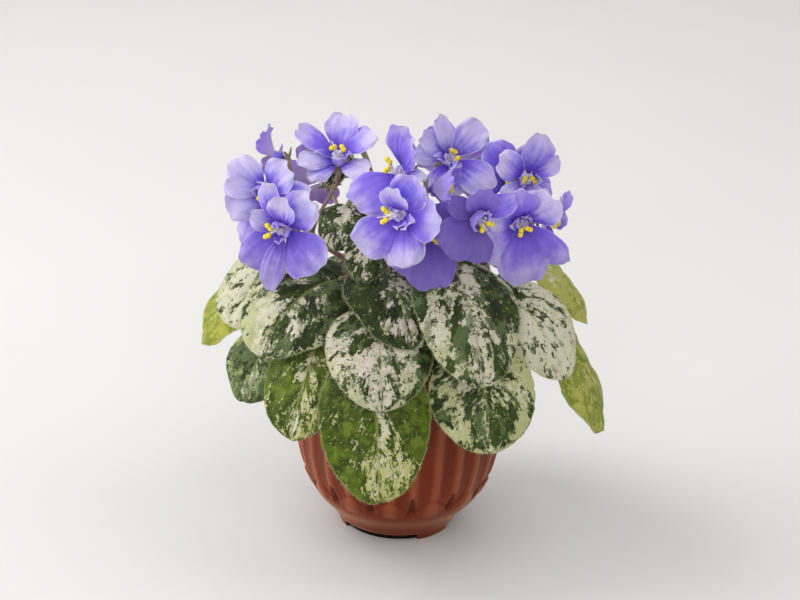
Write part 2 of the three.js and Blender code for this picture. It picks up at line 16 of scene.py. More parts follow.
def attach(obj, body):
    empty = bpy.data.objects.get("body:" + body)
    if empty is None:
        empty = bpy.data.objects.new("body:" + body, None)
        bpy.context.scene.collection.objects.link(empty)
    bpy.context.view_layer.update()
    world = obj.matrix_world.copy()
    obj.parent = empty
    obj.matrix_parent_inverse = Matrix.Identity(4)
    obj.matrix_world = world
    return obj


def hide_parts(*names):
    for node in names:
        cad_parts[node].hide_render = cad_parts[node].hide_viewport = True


bl_info = {
    "name": "Potted African Violet",
    "version": (1, 0, 0),
    "blender": (4, 5, 0),
    "location": "3D View > Sidebar > Violet",
    "description": "Builds a flowering african violet in its pot around the packed frame",
    "category": "Object",
}

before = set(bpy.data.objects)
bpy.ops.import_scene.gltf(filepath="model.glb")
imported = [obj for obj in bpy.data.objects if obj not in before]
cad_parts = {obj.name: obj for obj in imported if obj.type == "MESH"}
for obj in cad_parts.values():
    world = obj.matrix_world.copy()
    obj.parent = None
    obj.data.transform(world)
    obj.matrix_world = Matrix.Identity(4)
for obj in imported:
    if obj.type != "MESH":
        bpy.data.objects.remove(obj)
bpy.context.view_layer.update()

MM = 0.001
UP = np.array([0.0, 0.0, 1.0])

# The plant's dimensions, which the frame shares where it has the same forms
GAP = 0.3
POT = {"height": 86.5, "feet": 1.6, "floor": 4.6, "ribs": 28, "phase": 9.5, "rib_depth": 0.5}
FOOT = {"outer": 24.2, "inner": 19, "width": 40, "azimuths": (42, 162, -78)}
DRAIN = {"count": 3, "radius": 3, "reach": 11, "azimuth": 45}
SOIL = {"top": 80.5, "swell": 1.2, "grains": 70}
STEM = {"radius": 6.5, "foot": 68.5, "top": 99.5}
BLADE = {"usual": 42, "cup": 4, "wave": 1}
PETIOLE = {"root": 1.6, "tip": 1.1, "lift": 62}
PETAL = {"root": 1.9, "step": 1.1, "near": 95}
THROAT = {"back": -2.6, "rise": 0.3, "radius": 2.7}
STALK = {"peduncle": 1.2, "pedicel": 0.8, "spread": 0.3}
CALYX = {"sepals": 5, "reach": 6, "thickness": 1.1, "curl": 0.6}
NOD = 0.7
ANTHER = {"radius": 1.5, "filament": 0.45}

# Fine hairs: how many leave the margin for each millimetre of the blade, and their widths
HAIR = {"per_mm": 6, "margin": 0.07, "face": 0.06, "stalk": 0.06}

# Where the draws of the hairs and of the pale grains start
SEEDS = {"leaf": 40, "peduncle": 200, "pedicel": 300, "soil": 5}

# The tone of the first young leaf, past those of the outer leaves
YOUNG_TONE = 30

# The pot's outer wall, its lip and its cavity as (height, radius)
WALL = ((1.6, 24.2), (7.5, 27.8), (14.5, 34.6), (21.5, 38), (29.5, 40.8), (38.5, 42.8), (75.5, 46),
        (81.8, 47.7), (86.5, 47.7))
LIP = ((86.5, 47.3), (86.5, 45.9), (86.4, 44.9), (85.7, 44.3))
CAVITY = ((4.6, 20.5), (10, 26.4), (18, 33), (31, 38.4), (40, 40.3), (87, 44.4))

# Under the pot: how far the bevelled edge and the floor lie above the top of the feet, and
# how far the low ring between the feet stands clear of the surface
BASE = {"step": 1.2, "recess": 0.4, "hem": 0.3}

# Rows of the wall round its rim, after the even ones that end at 78
RIM_ROWS = (79.4, 79.8, 80.4, 82, 83.8, 84.3)

# Relief of the wall: the heights where the ribs, the cushions and the pits start, are full,
# fade and end, and how far the cushions stand out and the pits and grooves go in
RELIEF = {"ribs": (21, 28, 62, 81.8), "cushions": (16, 18.5, 23, 28), "pits": (18, 19.5, 26, 29)}
BAND = {"cushion": 0.8, "pit": 2, "groove": 0.6}

# Outer leaves: azimuth, reach and height of the blade's foot, yaw from the azimuth, length,
# width, pitch at the foot and at the tip, roll, petiole's start height
LEAVES = (
    (-12, 54.5, 90.7, 26, 53, 44, -53, -86, 2, 83),
    (-14, 40, 107.5, 20, 41, 42, -24, -74, 0, 88.5),
    (-19, 20, 117.8, 35, 41, 42, -1, -60, -8, 95.5),
    (-55, 31, 113.5, 5, 49, 44, 6, -72, -26, 89.5),
    (-41, 49, 95.5, 12, 42, 34, -42, -80, -12, 83),
    (-60, 60, 92, 8, 28, 30, -46, -78, -20, 84),
    (-79, 44, 114, 4, 38, 38, -12, -64, -36, 88.5),
    (-101, 65, 97.5, 0, 36, 30, -28, -78, -34, 83.5),
    (39, 31, 122.5, -19, 53, 43, -18, -76, -2, 91.5),
    (35, 51.5, 92.5, -15, 39, 43, -46, -80, 6, 83),
    (72, 39.5, 109.5, -18, 47, 35, -11, -74, 18, 87.5),
    (99, 56, 113.5, -10, 34, 32, -24, -76, 6, 88.5),
    (80, 66, 89.5, -6, 44, 34, -52, -76, 6, 83),
    (130, 36, 118.5, -20, 42, 38, 0, -60, 12, 88.5),
    (160, 40, 108.5, 0, 40, 40, -14, -70, 0, 88.5),
    (178, 52, 92.5, 0, 42, 38, -40, -78, 0, 83),
    (-150, 38, 106.5, 0, 42, 40, -14, -70, 0, 88.5),
    (-128, 50, 94.5, 0, 42, 38, -34, -78, -6, 83),
)

# Young leaves of the crown, in the same order of values
YOUNG = (
    (-34, 24, 134.5, 22, 22, 19, -34, -68, 0, 92.5),
    (-72, 25, 140.5, 58, 21, 20, -22, -60, 0, 92.5),
    (-128, 35, 154.5, 94, 17, 16, -30, -66, 0, 92.5),
    (96, 16, 122.5, 0, 20, 17, 10, -30, 0, 92.5),
    (178, 18, 122.5, 0, 24, 20, 5, -40, 0, 92.5),
)

Look = namedtuple("Look", "palette cover grey wash grain tipward rightward blush patches")

# How each outer leaf is coloured, as the values of a Look: its greens, the share of dark
# green, of grey-green and of pale wash, how fine the pattern is, how much the green gathers
# towards the tip and towards the right half, the pink blush, and patches of more or less
# green as (row, across, size along, size across, amount)
LOOKS = (
    ("olive", 0.92, 0.4, 0.9, 1.3, -1.05, 0.0, 0.0,
     ((0.85, 0.6, 0.3, 0.35, -0.5), (0.4, 0.55, 0.3, 0.1, -0.5))),
    ("forest", 0.4, 0.5, 0.52, 1.1, -0.2, 0.1, 0.6,
     ((0.3, 0.27, 0.1, 0.13, 1.5), (0.5, 0.95, 0.22, 0.1, 1.2))),
    ("forest", 0.6, 0.48, 0.6, 1.0, 0.0, -0.2, 0.8,
     ((0.3, 0.15, 0.35, 0.3, 0.5), (0.75, 0.6, 0.3, 0.25, -0.3))),
    ("forest", 0.66, 0.5, 0.65, 0.9, -0.3, 0.15, 0.3,
     ((0.25, 0.2, 0.25, 0.3, 0.8), (0.85, 0.25, 0.2, 0.25, -1.2))),
    ("olive", 0.64, 0.35, 0.8, 1.2, -0.4, -0.4, 0.0, ((0.2, 0.3, 0.3, 0.4, 0.6),)),
    ("forest", 0.56, 1.0, 0.9, 0.9, 0.0, 0.0, 0.0, ()),
    ("forest", 0.18, 0.32, 0.4, 1.0, -0.1, 0.0, 0.0, ()),
    ("lime", 0.3, 0.5, 1.1, 1.0, 0.0, 0.0, 0.0, ()),
    ("forest", 0.35, 0.5, 0.5, 0.95, 0.0, 0.15, 0.4,
     ((0.45, 0.78, 0.25, 0.14, 1.2), (0.3, 0.04, 0.3, 0.1, 1.4))),
    ("forest", 0.46, 0.35, 0.75, 1.2, -0.1, -0.1, 0.1, ((0.3, 0.9, 0.25, 0.2, -0.8),)),
    ("forest", 0.2, 0.22, 0.35, 1.0, -0.2, 0.0, 0.1, ((0.25, 0.6, 0.2, 0.3, 1.0),)),
    ("lime", 0.2, 0.3, 1.0, 1.0, 0.0, 0.0, 0.0, ()),
    ("lime", 0.4, 0.6, 1.0, 1.0, 0.0, 0.0, 0.0, ()),
    ("forest", 0.45, 0.5, 0.6, 1.0, -0.2, 0.2, 0.2, ()),
    ("forest", 0.4, 0.4, 0.6, 1.1, -0.3, -0.2, 0.3, ()),
    ("olive", 0.6, 0.5, 0.7, 1.3, -0.3, 0.2, 0.0, ()),
    ("forest", 0.5, 0.5, 0.5, 1.0, -0.1, 0.3, 0.3, ()),
    ("olive", 0.55, 0.5, 0.7, 1.2, -0.4, -0.3, 0.0, ()),
)
YOUNG_LOOK = Look("forest", 0.6, 0.45, 0.6, 0.8, 0.0, 0.0, 0.6, ((0.5, 0.5, 0.5, 0.1, -0.8),))

Bloom = namedtuple("Bloom", "throat facing size pale petals anthers pistil")

# Blooms: throat, facing azimuth and elevation, size, paleness, petals as (turn, length, width,
# pitch at the throat, pitch at the tip), anthers and pistil tip as (across, up, out)
# The petals that the two blooms at the back share
STAR = ((-36, 0.95, 0.8, 45, 6), (36, 0.95, 0.8, 45, 6), (-106, 1.05, 0.9, 42, -2), (106, 1.05, 0.9, 42, -2),
        (180, 1.15, 1, 40, -6))
# A paleness below 0.16 makes the petal finish darken a bloom towards the low petal colour, as painted shade.
BLOOMS = {
    "01": Bloom((-46, -40, 141.5), (-18, 8), 19, 0.68, (
        (42, 1, 0.85, 40, 4), (128, 1.1, 0.95, 40, -4), (186, 1.2, 0.5, 35, 5), (222, 1.05, 0.8, 40, -5),
        (-68, 0.7, 0.5, 45, 20), (-14, 1.05, 0.5, 50, 15), (14, 0.85, 0.6, 55, 20)),
        ((-4, 1, 7), (-4.5, -2.5, 7)), (3, -3, 6)),
    "02": Bloom((-54, -22, 149.5), (-20, 15), 18, 0.8, (
        (42, 0.95, 0.8, 45, 10), (88, 1.1, 0.7, 40, 2), (-52, 0.95, 0.85, 45, 5), (-86, 0.85, 0.45, 45, 10),
        (-122, 0.9, 0.7, 40, 2), (-166, 1.25, 0.75, 35, -10)),
        ((-1, -1.5, 5), (2.5, -1.5, 4.5)), (1, 3, 6)),
    "03": Bloom((-52, 2, 156.5), (-110, 8), 12, 0.4, (
        (-30, 1, 0.7, 48, 10), (36, 1, 0.7, 48, 4), (-102, 0.95, 0.8, 42, -4), (102, 0.95, 0.8, 42, -4),
        (180, 1, 0.9, 40, -8)),
        ((-1.5, -1.5, 4.5), (2, -1.5, 4.5)), (0, 1.5, 9)),
    "04": Bloom((-28, 5, 155.5), (-8, 58), 17, 0.85, (
        (0, 1, 0.8, 40, 2), (60, 0.95, 0.75, 40, 2), (-66, 1.15, 0.55, 35, 5), (-112, 0.95, 0.6, 35, 2),
        (-140, 0.85, 0.6, 35, -10), (124, 0.9, 0.65, 40, -5)),
        ((-2, 1, 6.5), (2, 1, 6.5)), (-3, 4, 7)),
    "05": Bloom((-2, -12, 156.5), (-38, 22), 18, 0.6, (
        (12, 1.05, 0.8, 45, 20), (44, 1.1, 0.7, 50, 30), (-150, 1.25, 1.1, 50, 10), (172, 0.9, 0.6, 40, 2),
        (100, 0.7, 0.5, 40, 2)),
        ((-4, 3, 6), (-3.5, -0.5, 6)), (1.5, 2, 7)),
    "06": Bloom((16, 8, 156.5), (10, 30), 16, 1.1, (
        (-86, 1, 0.45, 25, 5), (-56, 0.95, 0.6, 40, 20), (-18, 1.05, 0.5, 45, 15), (46, 1.15, 0.8, 40, 10),
        (130, 1.2, 0.9, 30, -10), (180, 0.85, 0.8, 30, -15), (-150, 0.95, 0.6, 30, -15)),
        ((1, 2, 6.5), (2, -1.5, 6.5)), (-1, 3, 8)),
    "07": Bloom((-2, -46, 150.5), (-22, 12), 18, 0.64, (
        (26, 0.95, 0.85, 45, 5), (-140, 1.1, 0.9, 45, 2), (166, 1.1, 0.95, 40, 2), (88, 0.95, 1, 40, 2),
        (0, 0.75, 0.65, 70, 30)),
        ((-4, 1.5, 7), (-4, -2.5, 7)), (-8, -2, 5)),
    "08": Bloom((9, -36, 140.5), (5, -5), 18, 0.1, (
        (178, 1.2, 1.15, 40, 2), (20, 0.95, 0.9, 45, 2), (95, 0.85, 0.9, 40, 2), (-128, 1.05, 0.9, 40, 2),
        (-50, 0.5, 0.6, 40, 4)),
        ((-2, -1.5, 4.5), (2, -1.5, 4.5)), (-4, 0.5, 6)),
    "09": Bloom((26, -44, 149.5), (15, 8), 18, 0.02, (
        (-127, 1, 1, 42, 2), (58, 0.9, 0.55, 45, 10), (-56, 0.85, 0.5, 45, 2), (180, 0.9, 0.75, 33, -2),
        (-4, 0.9, 0.7, 65, 25)),
        ((1, -3, 5), (4, -1.5, 5)), (5, -7, 6)),
    "10": Bloom((44, -32, 144.5), (8, 0), 19, 0.62, (
        (-14, 0.95, 0.8, 50, 15), (40, 0.9, 0.9, 50, 10), (-62, 0.75, 0.8, 40, 2), (-122, 1.05, 1, 38, -4),
        (178, 1.2, 1.1, 38, -4), (130, 1.15, 0.6, 38, -6)),
        ((-1, -2.5, 5), (2, -1, 5)), (-1, 3, 6)),
    "11": Bloom((47, 1, 152.5), (12, 10), 14, 1.0, (
        (12, 1.35, 0.9, 42, 10), (-56, 1.05, 0.9, 42, 2), (60, 1, 0.6, 42, 2), (150, 0.95, 0.5, 40, 2),
        (-140, 0.95, 0.8, 40, 2)),
        ((-2, -0.5, 4.5), (2, -0.5, 4.5)), (1, 3, 6)),
    "12": Bloom((56, -4, 137.5), (60, 0), 12, 0.6, (
        (-30, 1, 0.7, 48, 10), (36, 1, 0.7, 48, 4), (-102, 0.95, 0.8, 42, -4), (102, 0.95, 0.8, 42, -4),
        (180, 0.9, 0.9, 40, -8)),
        ((-1.5, -1.5, 4.5), (1.5, -1.5, 4.5)), (0, 2, 6)),
    "13": Bloom((42, 16, 146.5), (5, 20), 16, 0.4, (
        (-30, 1.05, 0.9, 42, 2), (-95, 1, 0.8, 42, 2), (40, 1, 0.8, 42, 2), (110, 1, 0.8, 42, 2),
        (180, 1, 0.8, 42, 2)),
        ((-1.5, -1, 5), (2, -1, 5)), (0, 3, 6)),
    "14": Bloom((11, -16, 151.5), (75, 10), 13, 0.4, (
        (-4, 1, 0.6, 60, 40), (-70, 1.1, 0.8, 60, 35), (70, 1, 0.7, 60, 35), (180, 0.9, 0.8, 60, 35)),
        ((-0.8, 0, 6), (0.8, 0, 6)), (0, 1, 5)),
    "15": Bloom((-34, 44, 136.5), (-152, 30), 18, 0.5, STAR,
        ((-1.5, -1.5, 4.5), (2, -1.5, 4.5)), (0, 3, 6)),
    "16": Bloom((20, 46, 142.5), (165, 28), 19, 0.35, STAR,
        ((-1.5, -1.5, 4.5), (2, -1.5, 4.5)), (0, 3, 6)),
}

# Small curled petals in the mouth of the double blooms, in the same order of values
INNER = {
    "01": ((70, 0.38, 0.3, 45, 95), (-35, 0.3, 0.24, 50, 100), (170, 0.3, 0.26, 40, 80)),
    "02": ((20, 0.45, 0.4, 45, 105), (-60, 0.35, 0.3, 50, 110)),
    "04": ((120, 0.4, 0.22, 35, 60), (-110, 0.5, 0.2, 30, 40)),
    "06": ((-100, 0.45, 0.3, 40, 80), (160, 0.4, 0.35, 30, 70)),
    "07": ((110, 0.5, 0.4, 35, 75), (150, 0.35, 0.3, 40, 90)),
    "08": ((60, 0.32, 0.26, 50, 90), (-70, 0.36, 0.28, 45, 85), (0, 0.3, 0.24, 55, 100)),
    "09": ((-80, 0.5, 0.45, 50, 120), (-20, 0.5, 0.4, 55, 110), (40, 0.35, 0.25, 50, 90)),
    "10": ((-75, 0.32, 0.26, 45, 85), (20, 0.3, 0.26, 50, 90)),
    "11": ((100, 0.4, 0.35, 40, 80), (-120, 0.35, 0.3, 40, 85)),
    "16": ((60, 0.35, 0.3, 45, 90), (-80, 0.35, 0.28, 45, 85)),
}

# Flower sprays: root azimuth and height on the stem, knot where the side stalks part, blooms
SPRAYS = {
    "left": ((-95, 94.5), (-38, 3, 124.5), ("01", "02", "03", "04")),
    "back_left": ((-135, 94.5), (-24, 24, 122.5), ("15",)),
    "middle": ((12, 95.5), (2, -14, 124.5), ("05", "07", "08", "14")),
    "right": ((54, 95.5), (26, -12, 122.5), ("09", "10", "11", "12")),
    "back_right": ((128, 94.5), (22, 14, 126.5), ("06", "13", "16")),
}

# Side veins of a leaf: how many leave the midrib on each side, and how many spaces between
# veins each one gains on its way forward to the margin, and the right half is ahead
VEINS = {"count": 6.5, "sweep": 0.9, "offset": 0.3}

# How finely the surfaces are divided
LEAF_GRID = (56, 61)
YOUNG_GRID = (34, 33)
PETAL_GRID = (34, 33)
INNER_GRID = (20, 19)

# The stage: half the floor's width, the camera, the place that the lights face, and the
# place and size of each light
FLOOR = 4000
CAMERA = {"lens": 80, "sensor": 36, "distance": 729, "target": (-1.5, 0, 98.5), "above": 21, "roll": 2}
LIT = (0, 0, 80)
LIGHTS = {
    "left": ((-1100, 250, 1400), 1000),
    "right": ((1100, 0, 1400), 1500),
    "low": ((-1300, -250, 420), 800),
    "front": ((0, -1500, 1000), 1500),
    "back": ((0, 1500, 1200), 1500),
}


# Directions and curves


def outward(azimuth):
    """A level unit vector that points away from the pot's axis at an azimuth in degrees."""
    turn = np.radians(azimuth)
    return np.array([np.sin(turn), -np.cos(turn), 0.0])


def sideways(azimuth):
    """The level unit vector to the right of outward, seen from outside."""
    turn = np.radians(azimuth)
    return np.array([np.cos(turn), np.sin(turn), 0.0])


def unit(vectors):
    """Vectors scaled to length 1."""
    vectors = np.asarray(vectors, float)
    return vectors / np.linalg.norm(vectors, axis=-1, keepdims=True)


def ease(low, high, value):
    """0 below low, 1 above high, and t * t * (3 - 2 t) between them."""
    t = np.clip((value - low) / (high - low), 0, 1)
    return t * t * (3 - 2 * t)


def between(value, start, full, fading, end):
    """0 outside start and end, 1 from full to fading, and eased from one to the other."""
    return ease(start, full, value) * (1 - ease(fading, end, value))


def arc(start, leaving, end, arriving, count):
    """A cubic Bezier curve with handles of 0.4 times its chord along the two directions."""
    start, end = np.asarray(start, float), np.asarray(end, float)
    reach = 0.4 * np.linalg.norm(end - start)
    t = np.linspace(0, 1, count)[:, None]
    near = start + reach * np.asarray(leaving)
    far = end - reach * np.asarray(arriving)
    return (1 - t) ** 3 * start + 3 * (1 - t) ** 2 * t * near + 3 * (1 - t) * t**2 * far + t**3 * end


def circle(side, other, count):
    """Points all round a circle of radius 1 spanned by two directions, or by two rows of
    them."""
    turn = 2 * np.pi * np.arange(count) / count
    return side[..., None, :] * np.cos(turn)[:, None] + other[..., None, :] * np.sin(turn)[:, None]


def level_ring(turn):
    """Points of a level circle of radius 1 about the pot's axis, at the given turns."""
    return np.stack([np.cos(turn), np.sin(turn), 0 * turn], -1)


# Meshes


class Piece:
    """Collects the closed surfaces of one piece in millimetres, then makes its object."""

    def __init__(self, name, skins):
        self.name = name
        self.skins = skins
        self.count = 0
        self.points, self.uvs, self.tones, self.faces, self.worn = [], [], [], [], []

    def add(self, points, uv, tone, faces, skin):
        """Adds points (n, 3) with their pattern coordinates, tone and faces of one skin."""
        self.points.append(points)
        self.uvs.append(uv)
        self.tones.append(np.full(len(points), tone, float))
        for block in faces:
            self.faces.extend((block + self.count).tolist())
            self.worn.extend([skin] * len(block))
        self.count += len(points)

    def blade(self, middle, normal, thickness, row, side, tone, skins):
        """A thin closed blade: the middle surface moved half its thickness each way, and a
        strip of faces round the edge that joins the two. Its pattern runs with the rows from
        0 to 1 and with the sides from -1 to 1."""
        rows, columns = middle.shape[:2]
        half = normal * thickness[..., None] / 2
        points = np.concatenate([(middle + half).reshape(-1, 3), (middle - half).reshape(-1, 3)])
        index = np.arange(rows * columns).reshape(rows, columns)
        quads = quads_of(index)
        under = quads[:, ::-1] + rows * columns
        edge = np.concatenate([index[:-1, 0], index[-1, :-1], index[:0:-1, -1], index[0, :0:-1]])
        after = np.roll(edge, -1)
        rim = np.stack([edge, after, after + rows * columns, edge + rows * columns], 1)
        rows_of, sides_of = np.broadcast_arrays(row, side)
        uv = np.stack([0.5 + 0.5 * sides_of, rows_of], -1).reshape(-1, 2)
        self.add(points, np.concatenate([uv, uv]), tone, [quads, rim], skins[0])
        self.faces.extend((under + self.count - len(points)).tolist())
        self.worn.extend([skins[1]] * len(under))

    def tube(self, path, radii, sides, tone, skin):
        """A round tube: at each point of the path a ring of the given radius square to it,
        with a flat face at both ends."""
        path = np.asarray(path, float)
        along = unit(np.gradient(path, axis=0))
        chord = path[-1] - path[0]
        bend = np.cross(along[0], chord)
        if np.linalg.norm(bend) < 0.01 * np.linalg.norm(chord):
            bend = np.cross(chord[[2, 0, 1]], chord)
        across = unit(bend - (along @ bend)[:, None] * along)
        ring = circle(across, np.cross(along, across), sides)
        points = path[:, None] + ring * np.asarray(radii, float)[:, None, None]
        self.rings(points, tone, skin)

    def rings(self, points, tone, skin):
        """A closed skin over rings of points (rings, sides, 3), capped at both ends."""
        count, sides = points.shape[:2]
        index = np.arange(count * sides).reshape(count, sides)
        quads = quads_of(np.concatenate([index, index[:, :1]], 1))[:, ::-1]
        caps = [index[:1, ::-1], index[-1:]]
        down = np.repeat(np.linspace(0, 1, count), sides)
        round_it = np.tile(np.arange(sides) / sides, count)
        uv = np.stack([round_it, down], 1)
        self.add(points.reshape(-1, 3), uv, tone, [quads, *caps], skin)

    def hairs(self, roots, ways, length, width, tone, skin):
        """Fine hairs: a slim three-sided spike from each root along its way."""
        ways = unit(ways)
        side = unit(np.cross(ways, np.roll(ways, 1, axis=1) + 0.3))
        base = roots[:, None] + circle(side, np.cross(ways, side), 3) * width / 2
        tips = (roots + ways * np.asarray(length)[:, None])[:, None]
        points = np.concatenate([base, tips], 1).reshape(-1, 3)
        start = 4 * np.arange(len(roots))[:, None, None]
        spike = np.array([[0, 1, 3], [1, 2, 3], [2, 0, 3], [0, 2, 1]])
        faces = (start + spike).reshape(-1, 3)
        self.add(points, np.full((len(points), 2), 0.5), tone, [faces], skin)

    def build(self):
        """Makes the mesh in metres with its pattern map, tone and materials."""
        mesh = bpy.data.meshes.new(self.name)
        points = np.concatenate(self.points) * MM
        mesh.from_pydata(points.tolist(), [], self.faces)
        for skin in self.skins:
            mesh.materials.append(skin)
        mesh.polygons.foreach_set("material_index", np.array(self.worn, np.int32))
        mesh.polygons.foreach_set("use_smooth", np.ones(len(mesh.polygons), bool))
        corner = np.zeros(len(mesh.loops), np.int32)
        mesh.loops.foreach_get("vertex_index", corner)
        pattern = mesh.uv_layers.new(name="pattern")
        pattern.data.foreach_set("uv", np.concatenate(self.uvs)[corner].astype(np.float32).ravel())
        tone = mesh.attributes.new("tone", "FLOAT", "POINT")
        tone.data.foreach_set("value", np.concatenate(self.tones).astype(np.float32))
        mesh.update()
        return place(self.name, mesh)


def place(name, data, matrix=None):
    """Makes an object of a mesh, a light or a camera and puts it in the scene."""
    made = bpy.data.objects.new(name, data)
    if matrix is not None:
        made.matrix_world = matrix
    bpy.context.scene.collection.objects.link(made)
    return made


def quads_of(index):
    """The four-sided faces between neighbouring rows and columns of a grid of indices."""
    return np.stack([index[:-1, :-1], index[1:, :-1], index[1:, 1:], index[:-1, 1:]], -1).reshape(-1, 4)


def settle(made, slot, *nodes):
    """Lets a finished piece ride on the plant in place of its frame nodes."""
    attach(made, "root")
    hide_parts(*nodes)


# Materials


def tint(red, green, blue):
    """A colour given in display values from 0 to 255, as the light values that a shader takes."""
    share = np.array([red, green, blue]) / 255
    light = np.where(share <= 0.04045, share / 12.92, ((share + 0.055) / 1.055) ** 2.4)
    return (*light.tolist(), 1.0)


class Wire:
    """A value inside a material. Arithmetic on it adds Math nodes."""

    def __init__(self, tree, socket):
        self.tree = tree
        self.socket = socket

    def math(self, operation, first, second=0.0):
        """A Math node of this operation on two values."""
        node = self.tree.nodes.new("ShaderNodeMath")
        node.operation = operation
        feed(self.tree, node.inputs[0], first)
        feed(self.tree, node.inputs[1], second)
        return Wire(self.tree, node.outputs[0])

    def __add__(self, other):
        return self.math("ADD", self, other)

    def __sub__(self, other):
        return self.math("SUBTRACT", self, other)

    def __rsub__(self, other):
        return self.math("SUBTRACT", other, self)

    def __mul__(self, other):
        return self.math("MULTIPLY", self, other)

    def __pow__(self, other):
        return self.math("POWER", self, other)

    def __gt__(self, other):
        return self.math("GREATER_THAN", self, other)

    def __abs__(self):
        return self.math("ABSOLUTE", self)

    __radd__ = __add__
    __rmul__ = __mul__


def feed(tree, socket, value):
    """Links a wire to a socket, or sets the socket to a plain value."""
    if isinstance(value, Wire):
        tree.links.new(value.socket, socket)
    else:
        socket.default_value = value


class Finish:
    """One material: a Principled BSDF, the nodes that feed it, and its colour so far."""

    def __init__(self, name, **constants):
        self.material = bpy.data.materials.new(name)
        self.material.use_nodes = True
        self.tree = self.material.node_tree
        self.surface = self.tree.nodes["Principled BSDF"]
        self.place = self.add("ShaderNodeTexCoord", output="Object")
        self.colour = None
        for key, value in constants.items():
            self.give({key.replace("_", " ").title().replace("Ior", "IOR"): value})

    def give(self, inputs):
        """Sets or links inputs of the Principled BSDF by their names."""
        for key, value in inputs.items():
            feed(self.tree, self.surface.inputs[key], value)

    def add(self, kind, settings=(), inputs=(), output=0):
        """Adds a node: its settings first, then the values or links of its sockets."""
        node = self.tree.nodes.new(kind)
        for key, value in dict(settings).items():
            setattr(node, key, value)
        for key, value in dict(inputs).items():
            feed(self.tree, node.inputs[key], value)
        return Wire(self.tree, node.outputs[output])

    def pattern(self):
        """The two pattern coordinates of the surface."""
        lay = self.add("ShaderNodeUVMap", {"uv_map": "pattern"})
        return tuple(self.add("ShaderNodeSeparateXYZ", (), {0: lay}, output=i) for i in (0, 1))

    def tone(self):
        """The tone that the mesh carries."""
        return self.add("ShaderNodeAttribute", {"attribute_name": "tone"}, output="Fac")

    def point(self, x, y, z):
        """A point from three values."""
        return self.add("ShaderNodeCombineXYZ", (), {0: x, 1: y, 2: z})

    def noise(self, scale, detail=2.0, roughness=0.5, distortion=0.0, at=None):
        """Smooth noise around 0.5 at a point, which is the object's own in metres by default."""
        inputs = {"Vector": at or self.place, "Scale": scale, "Detail": detail, "Roughness": roughness,
                  "Distortion": distortion}
        return self.add("ShaderNodeTexNoise", (), inputs)

    def ripple(self, value):
        """The distance from a value to the nearest whole number."""
        return value.math("PINGPONG", value, 0.5)

    def step(self, value, low, high):
        """0 at low, 1 at high, eased between them, and level beyond them."""
        inputs = {"Value": value, "From Min": low, "From Max": high}
        return self.add("ShaderNodeMapRange", {"interpolation_type": "SMOOTHSTEP"}, inputs)

    def mix(self, share, first, second):
        """The first colour, turned into the second by a share."""
        return self.add("ShaderNodeMix", {"data_type": "RGBA"}, {0: share, 6: first, 7: second}, output=2)

    def over(self, share, colour):
        """Turns the colour so far into another by a share."""
        self.colour = self.mix(share, self.colour, colour)

    def done(self, height, depth, strength=1.0):
        """Gives the surface its colour, and bends its normal by a height whose whole range is
        depth millimetres."""
        bump = {"Height": height, "Distance": depth * MM, "Strength": strength}
        self.give({"Base Color": self.colour, "Normal": self.add("ShaderNodeBump", (), bump)})
        return self.material


# Greens of the leaves: dark, lively, grey-green and the pale wash
GREENS = {
    "forest": (tint(18, 30, 4), tint(50, 70, 12), tint(92, 110, 68), tint(156, 164, 86)),
    "olive": (tint(40, 58, 0), tint(86, 108, 2), tint(106, 124, 42), tint(180, 178, 98)),
    "lime": (tint(98, 112, 28), tint(130, 142, 42), tint(140, 150, 70), tint(168, 166, 62)),
}


def leaf_field(finish, grain):
    """Where a point of the leaf lies among its veins, and its noises: broad, streak and line
    are drawn out along the side veins, the others are even."""
    across, along = finish.pattern()
    seed = finish.tone()
    rough = finish.noise(330, 2, 0.6)
    blot = finish.noise(180 * grain, 3, 0.65, 0.3)
    outside = abs(across * 2 - 1)
    half = across > 0.5
    veins = along * VEINS["count"] - outside * VEINS["sweep"] + half * VEINS["offset"]
    lay = finish.point(outside * 2.6 + rough * 0.6, veins * 1.3 + rough * 0.8, half * 5.3 + seed * 3.7)
    strand = finish.point(outside * 3 + rough * 0.5, veins * 4.2 + rough * 0.7, half * 3.1 + seed * 2.3)
    return SimpleNamespace(
        across=across, along=along, outside=outside, veins=veins, rough=rough, blot=blot,
        fine=finish.noise(1250, 2, 0.65),
        small=finish.noise(460 * grain, 3, 0.7, 0.2),
        broad=finish.noise(0.5, at=lay),
        streak=finish.noise(1.15 * grain, 3, 0.65, 0.2, at=lay),
        line=finish.noise(1.3 * grain, 2, 0.6, at=strand),
        cloud=finish.noise(0.8, 3, 0.65, at=lay) * 0.6 + blot * 0.4,
    )


def more_green(finish, look, field):
    """How much more green than elsewhere a point of the leaf has, by the look's leanings
    towards the tip and the right half and by its patches."""
    more = (field.along - 0.5) * (0.11 * look.tipward) + (field.across - 0.5) * (0.11 * look.rightward)
    for row, spot, length, width, amount in look.patches:
        away = ((field.along - row) * (1 / length)) ** 2 + ((field.across - spot) * (1 / width)) ** 2
        more = more + (1 - finish.step(away, 0, 1.6)) * (0.06 * amount)
    return more


